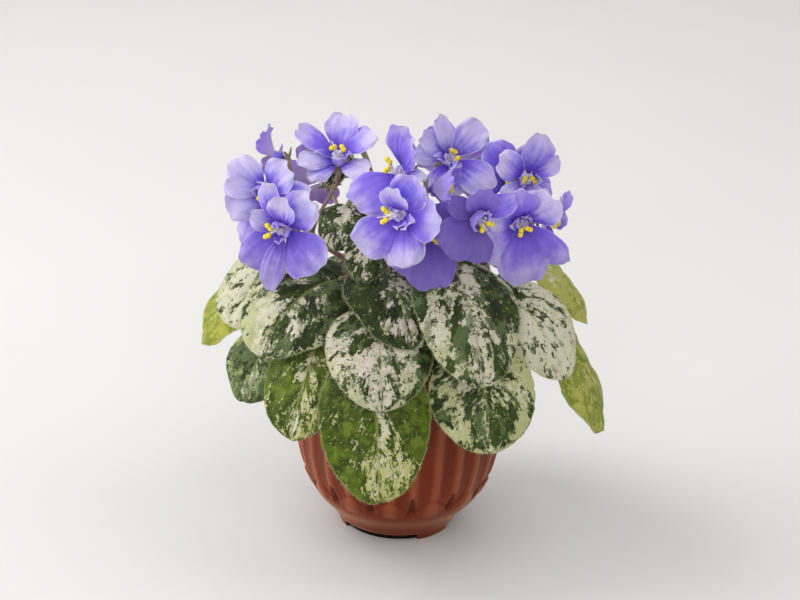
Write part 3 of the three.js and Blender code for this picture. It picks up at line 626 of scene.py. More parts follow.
def leaf_finish(name, look, settings):
    """Cream leaf splashed with green in streaks along its side veins: a pale wash, grey-green
    clouds, crisp dark patches with a livelier fringe, small specks of both, and pale veins."""
    deep, lively, muted, washed = GREENS[look.palette]
    finish = Finish(name, sheen_weight=0.03, sheen_roughness=0.4, subsurface_weight=0.06,
                    subsurface_scale=0.0015, subsurface_radius=(0.6, 1.0, 0.3), specular_ior_level=0.25)
    field = leaf_field(finish, look.grain)
    fine, rough, blot, small, broad = field.fine, field.rough, field.blot, field.small, field.broad
    more = more_green(finish, look, field)

    blush = finish.step(rough + 0.35 * (look.blush - 0.5), 0.4, 0.6)
    finish.colour = finish.mix(blush, settings.cream, settings.blush)
    pale = broad * 0.4 + small * 0.4 + rough * 0.2 + (field.outside - 0.5) * 0.12 + 0.2 * (look.wash - 0.5)
    finish.over(finish.step(pale, 0.47, 0.54) * (0.9 * look.wash), washed)
    greyed = field.cloud * 0.8 + fine * 0.2 + more * 0.5 + 0.2 * (look.grey - 0.5)
    finish.over(finish.step(greyed, 0.53, 0.56) * 0.7, muted)

    island = broad * 0.2 + field.streak * 0.3 + field.line * 0.12 + blot * 0.2 + small * 0.12 + fine * 0.06
    island = island + more + 0.14 * (look.cover - 0.5)
    dark = finish.step(island, 0.491, 0.508)
    finish.over(finish.step(island, 0.474, 0.49) * 0.6, lively)
    green = finish.mix(finish.step(blot * 0.6 + broad * 0.4, 0.4, 0.64), deep, lively)
    green = finish.mix(finish.step(field.cloud + 0.15 * (look.grey - 0.5), 0.52, 0.58) * 0.65, green, muted)
    finish.over(dark, green)
    dots = finish.noise(620, 1) + more + 0.12 * (look.cover - 0.5)
    finish.over(finish.step(dots, 0.65, 0.665) * (1 - dark) * 0.9, deep)
    finish.over(finish.step(fine * 0.4 + small * 0.6, 0.39, 0.375) * dark * 0.8, washed)

    vein = 1 - finish.step(finish.ripple(field.veins), 0, 0.06)
    finish.over(vein * (1 - finish.step(field.outside, 0.3, 0.9)) * 0.12, washed)
    finish.over((1 - finish.step(field.outside + (fine - 0.5) * 0.03, 0.01, 0.05)) * 0.35, washed)
    finish.over(finish.step(field.outside + fine * 0.02, 0.975, 0.995) * 0.35, tint(172, 176, 104))
    down = finish.step(finish.noise(2600, 2, 0.7), 0.54, 0.72)
    finish.over(down * 0.04, tint(235, 238, 225))
    finish.give({"Roughness": 0.52 + fine * 0.2})
    return finish.done(fine * 0.5 + down * 0.5 + rough * 0.6, 0.16, 0.8)


def underleaf_finish():
    """Pale green underside with raised veins and a little plum between them."""
    finish = Finish("leaf_underside", roughness=0.7, sheen_weight=0.3)
    across, along = finish.pattern()
    lay = finish.point(abs(across * 2 - 1) * 1.2, along * 14, 0)
    veins = finish.step(finish.noise(1.6, 1, at=lay), 0.52, 0.6)
    plum = finish.step(finish.noise(120, 3, 0.6), 0.42, 0.6)
    finish.colour = finish.mix(plum, tint(140, 152, 104), tint(122, 106, 84))
    finish.over(veins * 0.5, tint(178, 184, 140))
    return finish.done(finish.noise(2200) + veins * 0.4, 0.12)


def stalk_finish(name, green, mauve):
    """Downy stalk, green turning mauve-brown in soft patches."""
    finish = Finish(name, roughness=0.6, sheen_weight=0.4, subsurface_weight=0.1, subsurface_scale=0.001)
    down = finish.noise(2400, 2, 0.7)
    finish.colour = finish.mix(finish.step(finish.noise(150, 3, 0.6), 0.4, 0.6), green, mauve)
    finish.over(finish.step(down, 0.54, 0.7) * 0.35, tint(225, 215, 205))
    return finish.done(down, 0.15)


def down_finish():
    """Near-white fine hairs."""
    finish = Finish("leaf_down", roughness=0.5, sheen_weight=0.2)
    finish.give({"Base Color": finish.mix(finish.noise(300), tint(214, 220, 196), tint(236, 236, 226))})
    return finish.material


def petal_finish(settings):
    """Satin petal: deep violet in the throat, lavender blue outside, paler in clouds and
    towards the edge, with fine darker veins that fan out along it and a thin pale rim. What
    hangs lowest and the darkest blooms are darkened towards a greyer violet as painted shade."""
    finish = Finish("petal", sheen_weight=0.06, sheen_roughness=0.35, specular_ior_level=0.25,
                    subsurface_weight=0.2, subsurface_scale=0.0015, subsurface_radius=(0.5, 0.4, 1.0))
    across, along = finish.pattern()
    pale = finish.tone()
    height = finish.add("ShaderNodeSeparateXYZ", (), {0: finish.place}, output=2)
    aside = abs(across * 2 - 1)
    cloud = finish.noise(130, 3, 0.6)
    lay = finish.point(across * 13 + cloud * 1.5, along * 1.3, pale * 9)
    broad = finish.noise(0.6, at=lay)
    vein = finish.noise(2.2, 3, 0.7, at=lay)
    grain = finish.noise(2600, 2, 0.6)
    outer = finish.step(along + aside * 0.15 + (cloud - 0.5) * 0.9 + (broad - 0.5) * 0.4, 0.25, 1.15)
    finish.colour = finish.mix(outer, settings.petal, settings.edge)
    fade = pale * 0.8 + along * 0.85 + (cloud - 0.5) * 0.8 + (broad - 0.5) * 0.4
    finish.over(finish.step(fade, 0.78, 1.45) * 0.85, settings.faded)
    shallow = finish.step(along + (vein - 0.5) * 0.4 + (broad - 0.5) * 0.3, 0, 0.5)
    finish.over((1 - shallow) * 0.9, settings.throat)
    finish.over(finish.step(vein, 0.5, 0.64) * 0.16, settings.throat)
    margin = finish.step(aside, 0.86, 1) + finish.step(along, 0.92, 1)
    rim = finish.step(margin + (cloud - 0.5) * 1.2 + pale * 0.3 + 0.2, 0.9, 1.4)
    finish.over(rim * 0.7, tint(212, 204, 228))
    # Painted shade: petals that hang low in the plant are darkened towards a greyer violet.
    finish.over(finish.step(height + (cloud - 0.5) * 0.02, 0.15, 0.122) * 0.55, settings.low)
    # Painted shade: the darkest blooms, those whose paleness is below 0.16, are darkened the same way.
    finish.over(finish.step(pale, 0.16, 0) * 0.85, settings.low)
    worn = finish.step(along + aside * 0.2 + (broad - 0.5) * 0.6 + pale * 0.3, 1.38, 1.5)
    finish.over(worn * 0.5, tint(150, 136, 128))
    finish.give({"Roughness": 0.44 + grain * 0.2})
    return finish.done(vein * 0.5 + grain * 0.4 + cloud * 1.2, 0.25, 0.8)


def petal_back_finish(settings):
    """The outer face of the petals, paler and with a greyish lilac flush near the calyx."""
    finish = Finish("petal_back", roughness=0.58, sheen_weight=0.4, subsurface_weight=0.2,
                    subsurface_scale=0.002)
    across, along = finish.pattern()
    lay = finish.point(across * 20, along * 1.6, finish.tone() * 7)
    vein = finish.noise(1, 3, 0.6, at=lay)
    outer = finish.step(along + (finish.noise(160, 3) - 0.5) * 0.5, 0, 0.9)
    finish.colour = finish.mix(outer, tint(176, 168, 210), settings.edge)
    finish.over(finish.step(vein, 0.45, 0.7) * 0.35, settings.petal)
    return finish.done(vein, 0.12)


def anther_finish(settings):
    """Matt pollen yellow, browner in its slit."""
    finish = Finish("anther", roughness=0.6, subsurface_weight=0.15, subsurface_scale=0.001)
    along = finish.pattern()[1]
    dust = finish.noise(1800, 3, 0.7)
    slit = 1 - finish.step(abs(along - 0.5) + (dust - 0.5) * 0.08, 0.02, 0.09)
    finish.colour = finish.mix(finish.step(dust, 0.4, 0.65), settings.anther, tint(250, 230, 70))
    finish.over(slit * 0.55, tint(160, 120, 20))
    return finish.done(dust, 0.15)


def filament_finish():
    """White filaments, ovary and pistil with a mauve flush."""
    finish = Finish("filament", roughness=0.5, sheen_weight=0.3, subsurface_weight=0.2,
                    subsurface_scale=0.001)
    along = finish.pattern()[1]
    flush = finish.step(finish.noise(500, 3, 0.6), 0.38, 0.66)
    finish.colour = finish.mix(flush, tint(226, 218, 222), tint(168, 146, 188))
    finish.over(finish.step(along, 0.965, 0.985) * 0.7, tint(120, 70, 80))
    return finish.done(finish.noise(2400), 0.08)


def pot_finish(settings):
    """Satin moulded plastic in terracotta brown, a little mottled, with a painted highlight on the
    ridges and cushions and painted shade in the pits and on the bevel under the pot."""
    finish = Finish("pot_plastic", specular_ior_level=0.22, sheen_weight=0.48, sheen_roughness=0.35,
                    sheen_tint=tint(255, 196, 150))
    around, along = finish.pattern()
    ridge = finish.tone()
    mottle = finish.noise(38, 4, 0.6)
    flow = finish.noise(1, 3, 0.6, at=finish.point(around * 90, along * 3, 0))
    grain = finish.noise(1600, 3, 0.6)
    finish.colour = finish.mix(finish.step(mottle, 0.35, 0.65), settings.plastic, settings.plastic_light)
    finish.over(finish.step(flow, 0.5, 0.75) * 0.2, tint(126, 62, 36))
    # Painted highlight: the crests of the ribs and the cushions made paler.
    finish.over(finish.step(ridge, 0, 1.2) * 0.55, tint(172, 94, 58))
    # Painted shade: the pits, and the bevel under the pot, made darker.
    finish.over(finish.step(ridge + (mottle - 0.5) * 0.5, -0.1, -0.8) * 0.6, tint(64, 24, 8))
    finish.give({"Roughness": 0.4 + mottle * 0.16 + grain * 0.06})
    return finish.done(grain * 0.5 + mottle * 0.8 + flow * 0.3, 0.1, 0.5)


def underside_shade_finish():
    """The same plastic under the pot, matt and painted near-black as shade for the recess under it."""
    finish = Finish("pot_underside", roughness=0.9, specular_ior_level=0.1)
    shade_mottle = finish.noise(90, 3, 0.6)
    # Painted shade: dark browns in place of the shadow under the pot, mottled by noise.
    finish.colour = finish.mix(finish.step(shade_mottle, 0.45, 0.7), tint(26, 13, 9), tint(48, 22, 12))
    return finish.done(shade_mottle, 0.2)


def soil_finish():
    """Moist dark peat in crumbs and darker lumps."""
    finish = Finish("potting_mix", roughness=0.95, specular_ior_level=0.2)
    crumb = finish.noise(380, 5, 0.7)
    lump = finish.noise(110, 3, 0.6)
    finish.colour = finish.mix(finish.step(crumb, 0.35, 0.65), tint(32, 22, 16), tint(76, 54, 38))
    finish.over(finish.step(lump, 0.55, 0.7) * 0.4, tint(20, 14, 10))
    return finish.done(crumb + lump, 1.2)


def grain_finish():
    """Off-white mineral grains in the potting mix."""
    finish = Finish("mineral_grain", roughness=0.85)
    pit = finish.noise(900, 3, 0.7)
    finish.colour = finish.mix(finish.step(pit, 0.4, 0.6), tint(196, 188, 174), tint(140, 128, 112))
    return finish.done(pit, 0.3)


def floor_finish(settings):
    """Plain pale surface with a barely visible fine tooth."""
    finish = Finish("pale_surface", roughness=0.8, specular_ior_level=0.2)
    finish.colour = finish.mix(finish.noise(5, 3), settings.floor, settings.floor_shade)
    return finish.done(finish.noise(700, 2, 0.6), 0.05, 0.4)


# Leaves


def leaf_of(row, seed):
    """The blade's directions, sizes and angles, and the petiole's root, from a table row."""
    azimuth, reach, height, yaw, length, width, first, last, roll, start = row
    head = azimuth + yaw
    rooted = STEM["radius"] + GAP + PETIOLE["root"] * np.sin(np.radians(PETIOLE["lift"]))
    return {
        "foot": outward(azimuth) * reach + UP * height, "ahead": outward(head), "side": sideways(head),
        "root": outward(azimuth) * rooted + UP * start, "azimuth": azimuth, "length": length,
        "width": width, "first": np.radians(first), "last": np.radians(last),
        "roll": np.radians(roll), "seed": seed,
    }


def quilt(row, side, width, depth):
    """The relief of the blade: a groove along the midrib, and a swelling between every two
    side veins that fades out at the midrib and at the margin."""
    reach = np.abs(side)
    veins = VEINS["count"] * row - VEINS["sweep"] * reach + np.where(side > 0, VEINS["offset"], 0)
    swell = (0.5 - 0.5 * np.cos(2 * np.pi * veins)) ** 0.6
    held = between(reach, 0.04, 0.3, 0.82, 1) * between(row, 0, 0.12, 0.86, 1)
    pucker = np.sin(9 * np.pi * reach + 3 * veins) * np.sin(2 * np.pi * veins) * 0.3
    groove = np.exp(-((side * width / 2.4) ** 2)) * (1 - 0.6 * row)
    return depth * ((swell + 0.35 * pucker) * held - 1.1 * groove)


def leaf_surface(leaf, row, side, depth=0.0, scallop=0.0):
    """A point of the blade and its normal. The row runs from 0 at the notch to 1 at the tip
    and sweeps forward as veins do, side from -1 to 1 between the edges. The midrib bends
    from the first pitch to the last, the half width is sin(pi row), lightly narrowed towards
    the tip, and the blade droops with the square of the distance from its midrib."""
    row, side = np.broadcast_arrays(np.asarray(row, float), np.asarray(side, float))
    turn = np.pi * row
    lobe = 0.16 * np.exp(-((turn / 0.26) ** 2))
    middle = row**2
    edge = 0.42 - 0.58 * np.cos(turn) + lobe
    along = middle + np.abs(side) * (edge - middle)
    reach = side * np.sin(turn) * (1 + 0.1 * np.cos(turn))
    reach = reach * (1 + scallop * np.abs(side) ** 5 * np.sin(26 * np.pi * row + leaf["seed"]))
    ripple = np.sin(2 * np.pi * (2.5 * row + 0.37 * leaf["seed"]) + np.where(side > 0, 1.3, 0))
    droop = BLADE["cup"] * leaf["width"] / BLADE["usual"] * reach**2
    rise = BLADE["wave"] * np.abs(side) ** 3 * ripple - droop
    rise = rise + quilt(row, side, leaf["width"], depth)
    bend = leaf["last"] - leaf["first"]
    pitch = leaf["first"] + bend * along
    chord = leaf["length"] / bend
    ahead, level_side = leaf["ahead"], leaf["side"]
    level = -np.sin(pitch)[..., None] * ahead + np.cos(pitch)[..., None] * UP
    across = np.cos(leaf["roll"]) * level_side + np.sin(leaf["roll"]) * level
    normal = -np.sin(leaf["roll"]) * level_side + np.cos(leaf["roll"]) * level
    point = (
        leaf["foot"]
        + ahead * (chord * (np.sin(pitch) - np.sin(leaf["first"])))[..., None]
        + UP * (chord * (np.cos(leaf["first"]) - np.cos(pitch)))[..., None]
        + across * (reach * leaf["width"] / 2)[..., None]
        + normal * rise[..., None]
    )
    return point, normal


def add_leaf(piece, leaf, grid, settings, tone):
    """One leaf: its blade, and a petiole that runs on as the midrib under the blade. Its rows
    lie closer together at both ends, and its columns at both edges."""
    row = 0.005 + 0.99 * (0.5 - 0.5 * np.cos(np.pi * np.linspace(0, 1, grid[0])))[:, None]
    side = np.sin(np.pi / 2 * np.linspace(1, -1, grid[1])[None] * 0.86) / np.sin(np.pi / 2 * 0.86)
    depth = settings.quilt / MM * (leaf["length"] / BLADE["usual"])
    middle, normal = leaf_surface(leaf, row, side, depth, settings.scallop)
    thickness = settings.thickness / MM * (0.55 + 0.45 * (1 - np.abs(side) ** 4))
    piece.blade(middle, normal, thickness, row, side, tone, (0, 1))
    add_petiole(piece, leaf, tone)
    if settings.hair > 0:
        add_leaf_hairs(piece, leaf, settings.hair / MM, tone)


def add_petiole(piece, leaf, tone):
    """The petiole: an arc from the stem to the blade's foot, then a tapering ridge along the
    midrib, just under the blade."""
    lift = np.radians(PETIOLE["lift"])
    leaving = outward(leaf["azimuth"]) * np.cos(lift) + UP * np.sin(lift)
    arriving = leaf["ahead"] * np.cos(leaf["first"]) + UP * np.sin(leaf["first"])
    path = arc(leaf["root"], leaving, leaf["foot"], arriving, 20)
    rib, normal = leaf_surface(leaf, np.linspace(0.12, 0.86, 12), 0.0)
    rib = rib - normal * np.linspace(1.6, 0.8, 12)[:, None]
    radii = np.concatenate([np.linspace(PETIOLE["root"], PETIOLE["tip"], 20), np.linspace(0.95, 0.3, 12)])
    piece.tube(np.concatenate([path, rib]), radii, 12, tone, 2)


def add_leaf_hairs(piece, leaf, length, tone):
    """Fine down: hairs that stand out from the margin and others scattered over the blade."""
    draw = np.random.default_rng(SEEDS["leaf"] + int(leaf["seed"]))
    count = int(HAIR["per_mm"] * leaf["length"])
    row = draw.uniform(0.03, 0.99, count)
    side = np.where(draw.uniform(size=count) > 0.5, 1.0, -1.0)
    edge = leaf_surface(leaf, row, side)[0]
    inner = leaf_surface(leaf, row, side * 0.9)[0]
    ways = unit(edge - inner) + 0.35 * draw.normal(size=(count, 3))
    piece.hairs(edge, ways, length * draw.uniform(0.5, 1.1, count), HAIR["margin"], tone, 3)
    row = draw.uniform(0.04, 0.96, 2 * count)
    side = draw.uniform(-0.96, 0.96, 2 * count)
    root, normal = leaf_surface(leaf, row, side)
    ways = normal + 0.5 * draw.normal(size=(2 * count, 3))
    piece.hairs(root + normal * 0.3, ways, length * draw.uniform(0.4, 0.8, 2 * count), HAIR["face"], tone, 3)


def make_leaves(settings):
    """The eighteen outer leaves, each a piece of its own."""
    under, down = underleaf_finish(), down_finish()
    stalk = stalk_finish("petiole", tint(128, 134, 84), tint(146, 108, 92))
    for i, (row, look) in enumerate(zip(LEAVES, LOOKS)):
        name = f"leaf_{i + 1:02d}"
        upper = leaf_finish(f"leaf_colours_{i + 1:02d}", Look(*look), settings)
        piece = Piece(f"violet_{name}", (upper, under, stalk, down))
        add_leaf(piece, leaf_of(row, i), LEAF_GRID, settings, i)
        settle(piece.build(), "leaf", name)


def make_crown(settings):
    """The short stem with five young leaves."""
    upper = leaf_finish("young_leaf_colours", YOUNG_LOOK, settings)
    stalk = stalk_finish("young_stalk", tint(140, 140, 96), tint(150, 104, 96))
    piece = Piece("violet_young_leaves", (upper, underleaf_finish(), stalk, down_finish()))
    height = np.array([0, 8, 16, 22, 26, 28.5, 30, 30.7, 30.7])
    radius = np.array([1, 1, 1, 1, 1, 0.94, 0.8, 0.6, 0.02]) * STEM["radius"]
    turn = np.linspace(0, 2 * np.pi, 48, endpoint=False)
    scar = 1 - 0.05 * np.maximum(np.sin(5 * turn[None] + height[:, None]), 0)
    points = level_ring(turn)[None] * (radius[:, None] * scar)[..., None]
    points = points + UP * (STEM["foot"] + GAP + height)[:, None, None]
    piece.rings(points, 0, 2)
    for i, row in enumerate(YOUNG):
        leaf = leaf_of(row, i)
        leaf["root"] = outward(leaf["azimuth"]) * 0.5 * STEM["radius"] + UP * (STEM["top"] - 3)
        add_leaf(piece, leaf, YOUNG_GRID, settings, YOUNG_TONE + i)
    settle(piece.build(), "young_leaf", "crown")


# Blooms


def bloom_frame(bloom):
    """The throat's place and the bloom's directions across, up and out."""
    azimuth, elevation = bloom.facing
    tilt = np.radians(elevation)
    return {
        "throat": np.array(bloom.throat, float),
        "out": outward(azimuth) * np.cos(tilt) + UP * np.sin(tilt),
        "up": -outward(azimuth) * np.sin(tilt) + UP * np.cos(tilt),
        "side": sideways(azimuth),
    }


def spot(directions, at):
    """A place given as across, up and out from the throat."""
    steps = zip(("side", "up", "out"), at)
    return directions["throat"] + sum(directions[key] * reach for key, reach in steps)


def discs(directions, outs, radii, sides):
    """Rings round the bloom's axis, at each distance out with its radius."""
    ring = circle(directions["side"], -directions["up"], sides)
    return directions["throat"] + directions["out"] * outs[:, None, None] + ring * radii[:, None, None]


def petal_surface(directions, size, petal, lift, row, edge, ruffle, roll=0.0):
    """A point of a petal and its normal. The row runs from 0 at the throat to 1 at the tip,
    edge from -1 to 1 across it. The petal opens as a power of a sine and closes as an
    ellipse, bends from its first pitch to its last and twists on the way. Upper petals cup
    forward and lower ones back, a crease runs up the middle, the outline is uneven, and two
    crossing waves ruffle the margin, which curls forward or back. Roll curls the sides of the
    small inner petals."""
    turn, length, width, first, last = petal
    angle = np.radians(turn)
    own = 2.3 * angle + 5 * width + 0.3 * size
    away = directions["up"] * np.cos(angle) + directions["side"] * np.sin(angle)
    across = -directions["up"] * np.sin(angle) + directions["side"] * np.cos(angle)
    opening = 0.1 + 0.9 * np.sin(np.pi / 2 * np.minimum(row / 0.6, 1)) ** 1.1
    closing = (1 - np.clip((row - 0.6) / 0.4, 0, 1) ** 2.3) ** 0.45
    reach = edge * opening * closing * (1 + 0.05 * np.sin(7 * row + own) * edge**2)
    row = row * (1 + 0.035 * np.sin(3 * reach + own) + 0.02 * np.sin(8 * reach + 2 * own))
    wave = np.sin(6 * width * reach + 8 * row + own) + 0.6 * np.sin(11 * width * reach - 9 * row + 2 * own)
    frill = ruffle * size * row**2 * (0.2 + edge**2) * wave
    frill = frill + 0.07 * size * np.cos(1.3 * own) * edge**4 * row
    crease = np.exp(-((edge / 0.22) ** 2)) - 0.35 * np.cos(5 * np.pi * edge)
    fold = -0.018 * size * crease * np.sin(np.pi * np.minimum(row * 1.1, 1))
    cup = 0.07 * np.cos(angle) + 0.03 * np.sin(own) + roll
    start = np.radians(first)
    bend = np.radians(last - first)
    pitch = start + bend * row
    chord = length * size / bend
    twist = 0.22 * np.sin(1.7 * own) * row
    lift_off = cup * width * size * reach**2 + frill + fold + np.tan(twist) * reach * width * size / 2
    normal = away * -np.sin(pitch)[..., None] + directions["out"] * np.cos(pitch)[..., None]
    point = (
        directions["throat"]
        + away * (PETAL["root"] + chord * (np.sin(pitch) - np.sin(start)))[..., None]
        + directions["out"] * (lift + chord * (np.cos(start) - np.cos(pitch)))[..., None]
        + across * (reach * width * size / 2)[..., None]
        + normal * lift_off[..., None]
    )
    return point, normal


def petal_levels(petals):
    """How many petals each one lies in front of: those further forward overlap the others."""
    levels = []
    for petal in sorted(petals, key=lambda p: p[3] + p[4]):
        level = 0
        for other, taken in levels:
            apart = abs(petal[0] - other[0]) % 360
            if min(apart, 360 - apart) < PETAL["near"]:
                level = max(level, taken + 1)
        levels.append((petal, level))
    return levels


def petal_lift(level):
    """How far a petal of this level stands forward of the throat."""
    return PETAL["step"] * (level - 1)


def throat_front(petals):
    """How far the throat stands forward, past its foremost petal."""
    return THROAT["rise"] + max(petal_lift(max(level for _, level in petal_levels(petals))), 0)


def egg(centre, axis, radius, shape, rows, sides):
    """Rings of a rounded body about an axis: the radius at each angle from the axis is
    radius times shape(angle)."""
    axis = unit(axis)
    side = unit(np.cross(axis, axis[[1, 2, 0]] + 0.1))
    angle = np.linspace(np.pi - 0.02, 0.02, rows)
    far = radius * shape(angle)
    ring = circle(side, np.cross(axis, side), sides)
    along = axis * (far * np.cos(angle))[:, None, None]
    return centre + ring[None] * (far * np.sin(angle))[:, None, None] + along


def make_blooms(settings):
    """The sixteen corollas: petals round a short tube, small curled petals in its mouth, and
    the ovary with the pistil."""
    skins = (petal_finish(settings), petal_back_finish(settings), filament_finish())
    for name, bloom in BLOOMS.items():
        piece = Piece(f"violet_bloom_{name}", skins)
        directions = bloom_frame(bloom)
        size, pale = bloom.size, bloom.pale
        for petal, level in petal_levels(bloom.petals):
            add_petal(piece, directions, size, petal, petal_lift(level), pale, settings, PETAL_GRID)
        mouth = throat_front(bloom.petals) - 0.4
        for petal in INNER.get(name, ()):
            add_petal(piece, directions, size, petal, mouth, 0.5 * pale, settings, INNER_GRID, 0.25)
        add_throat(piece, directions, bloom)
        settle(piece.build(), "petal", f"corolla_{name}")


def add_petal(piece, directions, size, petal, lift, pale, settings, grid, roll=0.0):
    """One petal as a thin blade, thinner towards its margin. Its rows lie closer together at
    the tip and its columns at the sides, and it is a little paler or darker than the rest."""
    spread = np.linspace(0, 1, grid[0])[:, None]
    row = 0.998 * (1 - (1 - spread) ** 1.5)
    edge = np.sin(np.pi / 2 * np.linspace(-1, 1, grid[1]))[None]
    middle, normal = petal_surface(directions, size, petal, lift, row, edge, settings.ruffle, roll)
    thickness = settings.petal_thickness / MM * (1 - 0.4 * np.maximum(np.abs(edge), row) ** 4)
    piece.blade(middle, normal, thickness, row, edge, pale + 0.28 * np.sin(2.4 * petal[0]), (0, 1))


def add_throat(piece, directions, bloom):
    """The short tube behind the petals, the ovary in it, and the slender pistil."""
    front, wide = throat_front(bloom.petals), THROAT["radius"]
    outs = np.array([THROAT["back"], -1.9, -PETAL["step"], 0, front - 0.2, front, front - 0.1])
    radii = np.array([0.9, 1.5, 2.5, wide, wide, 2.45, 1.8])
    piece.rings(discs(directions, outs, radii, 20), bloom.pale, 0)
    seat = spot(directions, (0, 0, front))
    piece.rings(egg(seat, directions["out"], 1.5, lambda angle: 1 + 0.1 * np.cos(angle), 10, 14), 0, 2)
    across, up, _ = bloom.pistil
    lean = np.hypot(across, up)
    foot = spot(directions, (0.4 * across / lean, 0.4 * up / lean, front + 0.8))
    tip = spot(directions, bloom.pistil)
    path = arc(foot, directions["out"], tip, unit(tip - foot), 16)
    piece.tube(path, np.concatenate([np.linspace(0.42, 0.24, 14), [0.34, 0.2]]), 8, 0, 2)


def two_lobed(angle):
    """The share of the radius at each angle from the axis: two round lobes with a waist."""
    return 0.62 + 0.66 * np.cos(angle) ** 2


def make_stamens(settings):
    """The pair of two-lobed anthers of each bloom on their stout filaments."""
    skins = (anther_finish(settings), filament_finish())
    for name, bloom in BLOOMS.items():
        piece = Piece(f"violet_anthers_{name}", skins)
        directions = bloom_frame(bloom)
        first, second = (spot(directions, anther) for anther in bloom.anthers)
        across, up, _ = bloom.pistil
        lean = np.hypot(across, up)
        front = throat_front(bloom.petals) + GAP + ANTHER["filament"]
        foot = spot(directions, (-across / lean, -up / lean, front))
        split = unit(first - second)
        for anther, way in ((first, 1), (second, -1)):
            sloped = np.cross(directions["out"], split) * way + directions["out"] * 0.35
            piece.rings(egg(anther, split * 0.8 + sloped, ANTHER["radius"], two_lobed, 22, 18), 0, 0)
            path = arc(foot, directions["out"], anther, unit(anther - foot), 12)
            piece.tube(path, np.linspace(0.75, 0.4, 12), 8, 0, 1)
        settle(piece.build(), "anther", f"stamens_{name}")


def make_sprays():
    """The flower stalks: a peduncle, side stalks and a star of five sepals behind each bloom."""
    stalk = stalk_finish("flower_stalk", tint(136, 122, 92), tint(152, 106, 104))
    green = stalk_finish("calyx", tint(120, 122, 78), tint(128, 98, 82))
    skins = (stalk, green, down_finish())
    for name, ((azimuth, height), knot, blooms) in SPRAYS.items():
        piece = Piece(f"violet_stalks_{name}", skins)
        root = outward(azimuth) * (STEM["radius"] + GAP + STALK["peduncle"]) + UP * height
        fork = np.array(knot, float)
        climbing = unit(fork - root)
        path = arc(root, UP, fork, climbing, 22)
        piece.tube(path, np.full(22, STALK["peduncle"]), 12, 0, 0)
        add_stalk_hairs(piece, path, STALK["peduncle"], 120, SEEDS["peduncle"] + int(azimuth))
        for bloom in blooms:
            directions = bloom_frame(BLOOMS[bloom])
            end = spot(directions, (0, 0, THROAT["back"] - GAP - CALYX["thickness"]))
            arriving = unit(directions["out"] * (1 - NOD) + UP * NOD)
            leaving = unit(climbing * STALK["spread"] + unit(end - fork))
            path = arc(fork, leaving, end, arriving, 18)
            piece.tube(path, np.concatenate([np.full(16, STALK["pedicel"]), [0.95, 1.2]]), 10, 0, 0)
            add_stalk_hairs(piece, path, STALK["pedicel"], 70, SEEDS["pedicel"] + int(bloom))
            add_calyx(piece, directions)
        settle(piece.build(), "stalk", f"spray_{name}")


def add_calyx(piece, directions):
    """Five pointed sepals from a small cup: each a blade whose half width is a power of
    sin(pi row), bent forward towards its tip."""
    front = THROAT["back"] - GAP - CALYX["curl"] / 2
    outs = np.array([-CALYX["thickness"] - 0.1, -0.8, -0.3, 0.0]) + front
    piece.rings(discs(directions, outs, np.array([0.9, 1.6, 1.8, 1.3]), 12), 0, 1)
    row = np.linspace(0, 0.995, 14)[:, None]
    edge = np.linspace(-1, 1, 7)[None]
    for i in range(CALYX["sepals"]):
        turn = np.pi * ((2 * i + 1) / CALYX["sepals"] + 0.5)
        away = directions["side"] * np.cos(turn) + directions["up"] * np.sin(turn)
        across = -directions["side"] * np.sin(turn) + directions["up"] * np.cos(turn)
        half = 1.15 * (1 - row**2.2) * (0.75 + 0.5 * np.sin(np.pi * row)) + 0.03
        along = 0.8 + (CALYX["reach"] - 0.8) * row
        out = front - 0.55 + CALYX["curl"] * row**2 - 0.25 * edge**2
        point = (directions["throat"] + away * (along + 0 * edge)[..., None]
                 + across * (half * edge)[..., None] + directions["out"] * out[..., None])
        piece.blade(point, directions["out"], 0.5 - 0.25 * row, row, edge, 0, (1, 1))


def add_stalk_hairs(piece, path, radius, count, seed):
    """Short hairs that stand off a stalk all round."""
    draw = np.random.default_rng(seed)
    spots = draw.uniform(0, len(path) - 1.001, count)
    low = spots.astype(int)
    point = path[low] + (path[low + 1] - path[low]) * (spots - low)[:, None]
    along = unit(path[low + 1] - path[low])
    around = draw.normal(size=(count, 3))
    around = unit(around - np.sum(around * along, 1, keepdims=True) * along)
    piece.hairs(point + around * radius * 0.9, around, draw.uniform(0.7, 1.3, count), HAIR["stalk"], 0, 2)


# The pot and the potting mix


def smooth_wall(height):
    """The outer wall's radius at a height: the table's straight runs, averaged over 4 mm."""
    table = np.array(WALL)
    offsets = np.linspace(-2, 2, 9)
    runs = np.interp(height[..., None] + offsets, table[:, 0], table[:, 1]).mean(-1)
    return np.where(height > 80, np.interp(height, table[:, 0], table[:, 1]), runs)


def wall_relief(height, turn, depth):
    """Narrow ribs with broad hollows between them. They end low down in a ring of cushions,
    one for every second rib, with an arched groove over each and a wedge-shaped pit between
    every two. Returned with the share of ridge, from 0 in a hollow to 1 on a crest, and down
    to -1 in a pit."""
    around = turn - np.radians(POT["phase"])
    wave = 0.5 + 0.5 * np.cos(POT["ribs"] * around)
    swing = np.cos(POT["ribs"] / 2 * around)
    ribbed = between(height, *RELIEF["ribs"])
    cushion = np.maximum(swing, 0) * between(height, *RELIEF["cushions"])
    pit_width = 0.02 + 0.2 * (1 - ease(18, 28, height))
    pit = np.exp(-(((1 + swing) / pit_width) ** 2)) * between(height, *RELIEF["pits"])
    arch = 19.5 + 6 * np.sqrt((1 + swing) / 2)
    groove = np.exp(-(((height - arch) / 0.9) ** 2)) * ease(-1, -0.6, swing)
    relief = depth * (2 * wave**2.6 - 1) * ribbed
    relief = relief + BAND["cushion"] * cushion - BAND["pit"] * pit - BAND["groove"] * groove
    return relief, (wave**2 * ribbed + 0.8 * cushion) * (1 - pit) - pit - 0.4 * groove


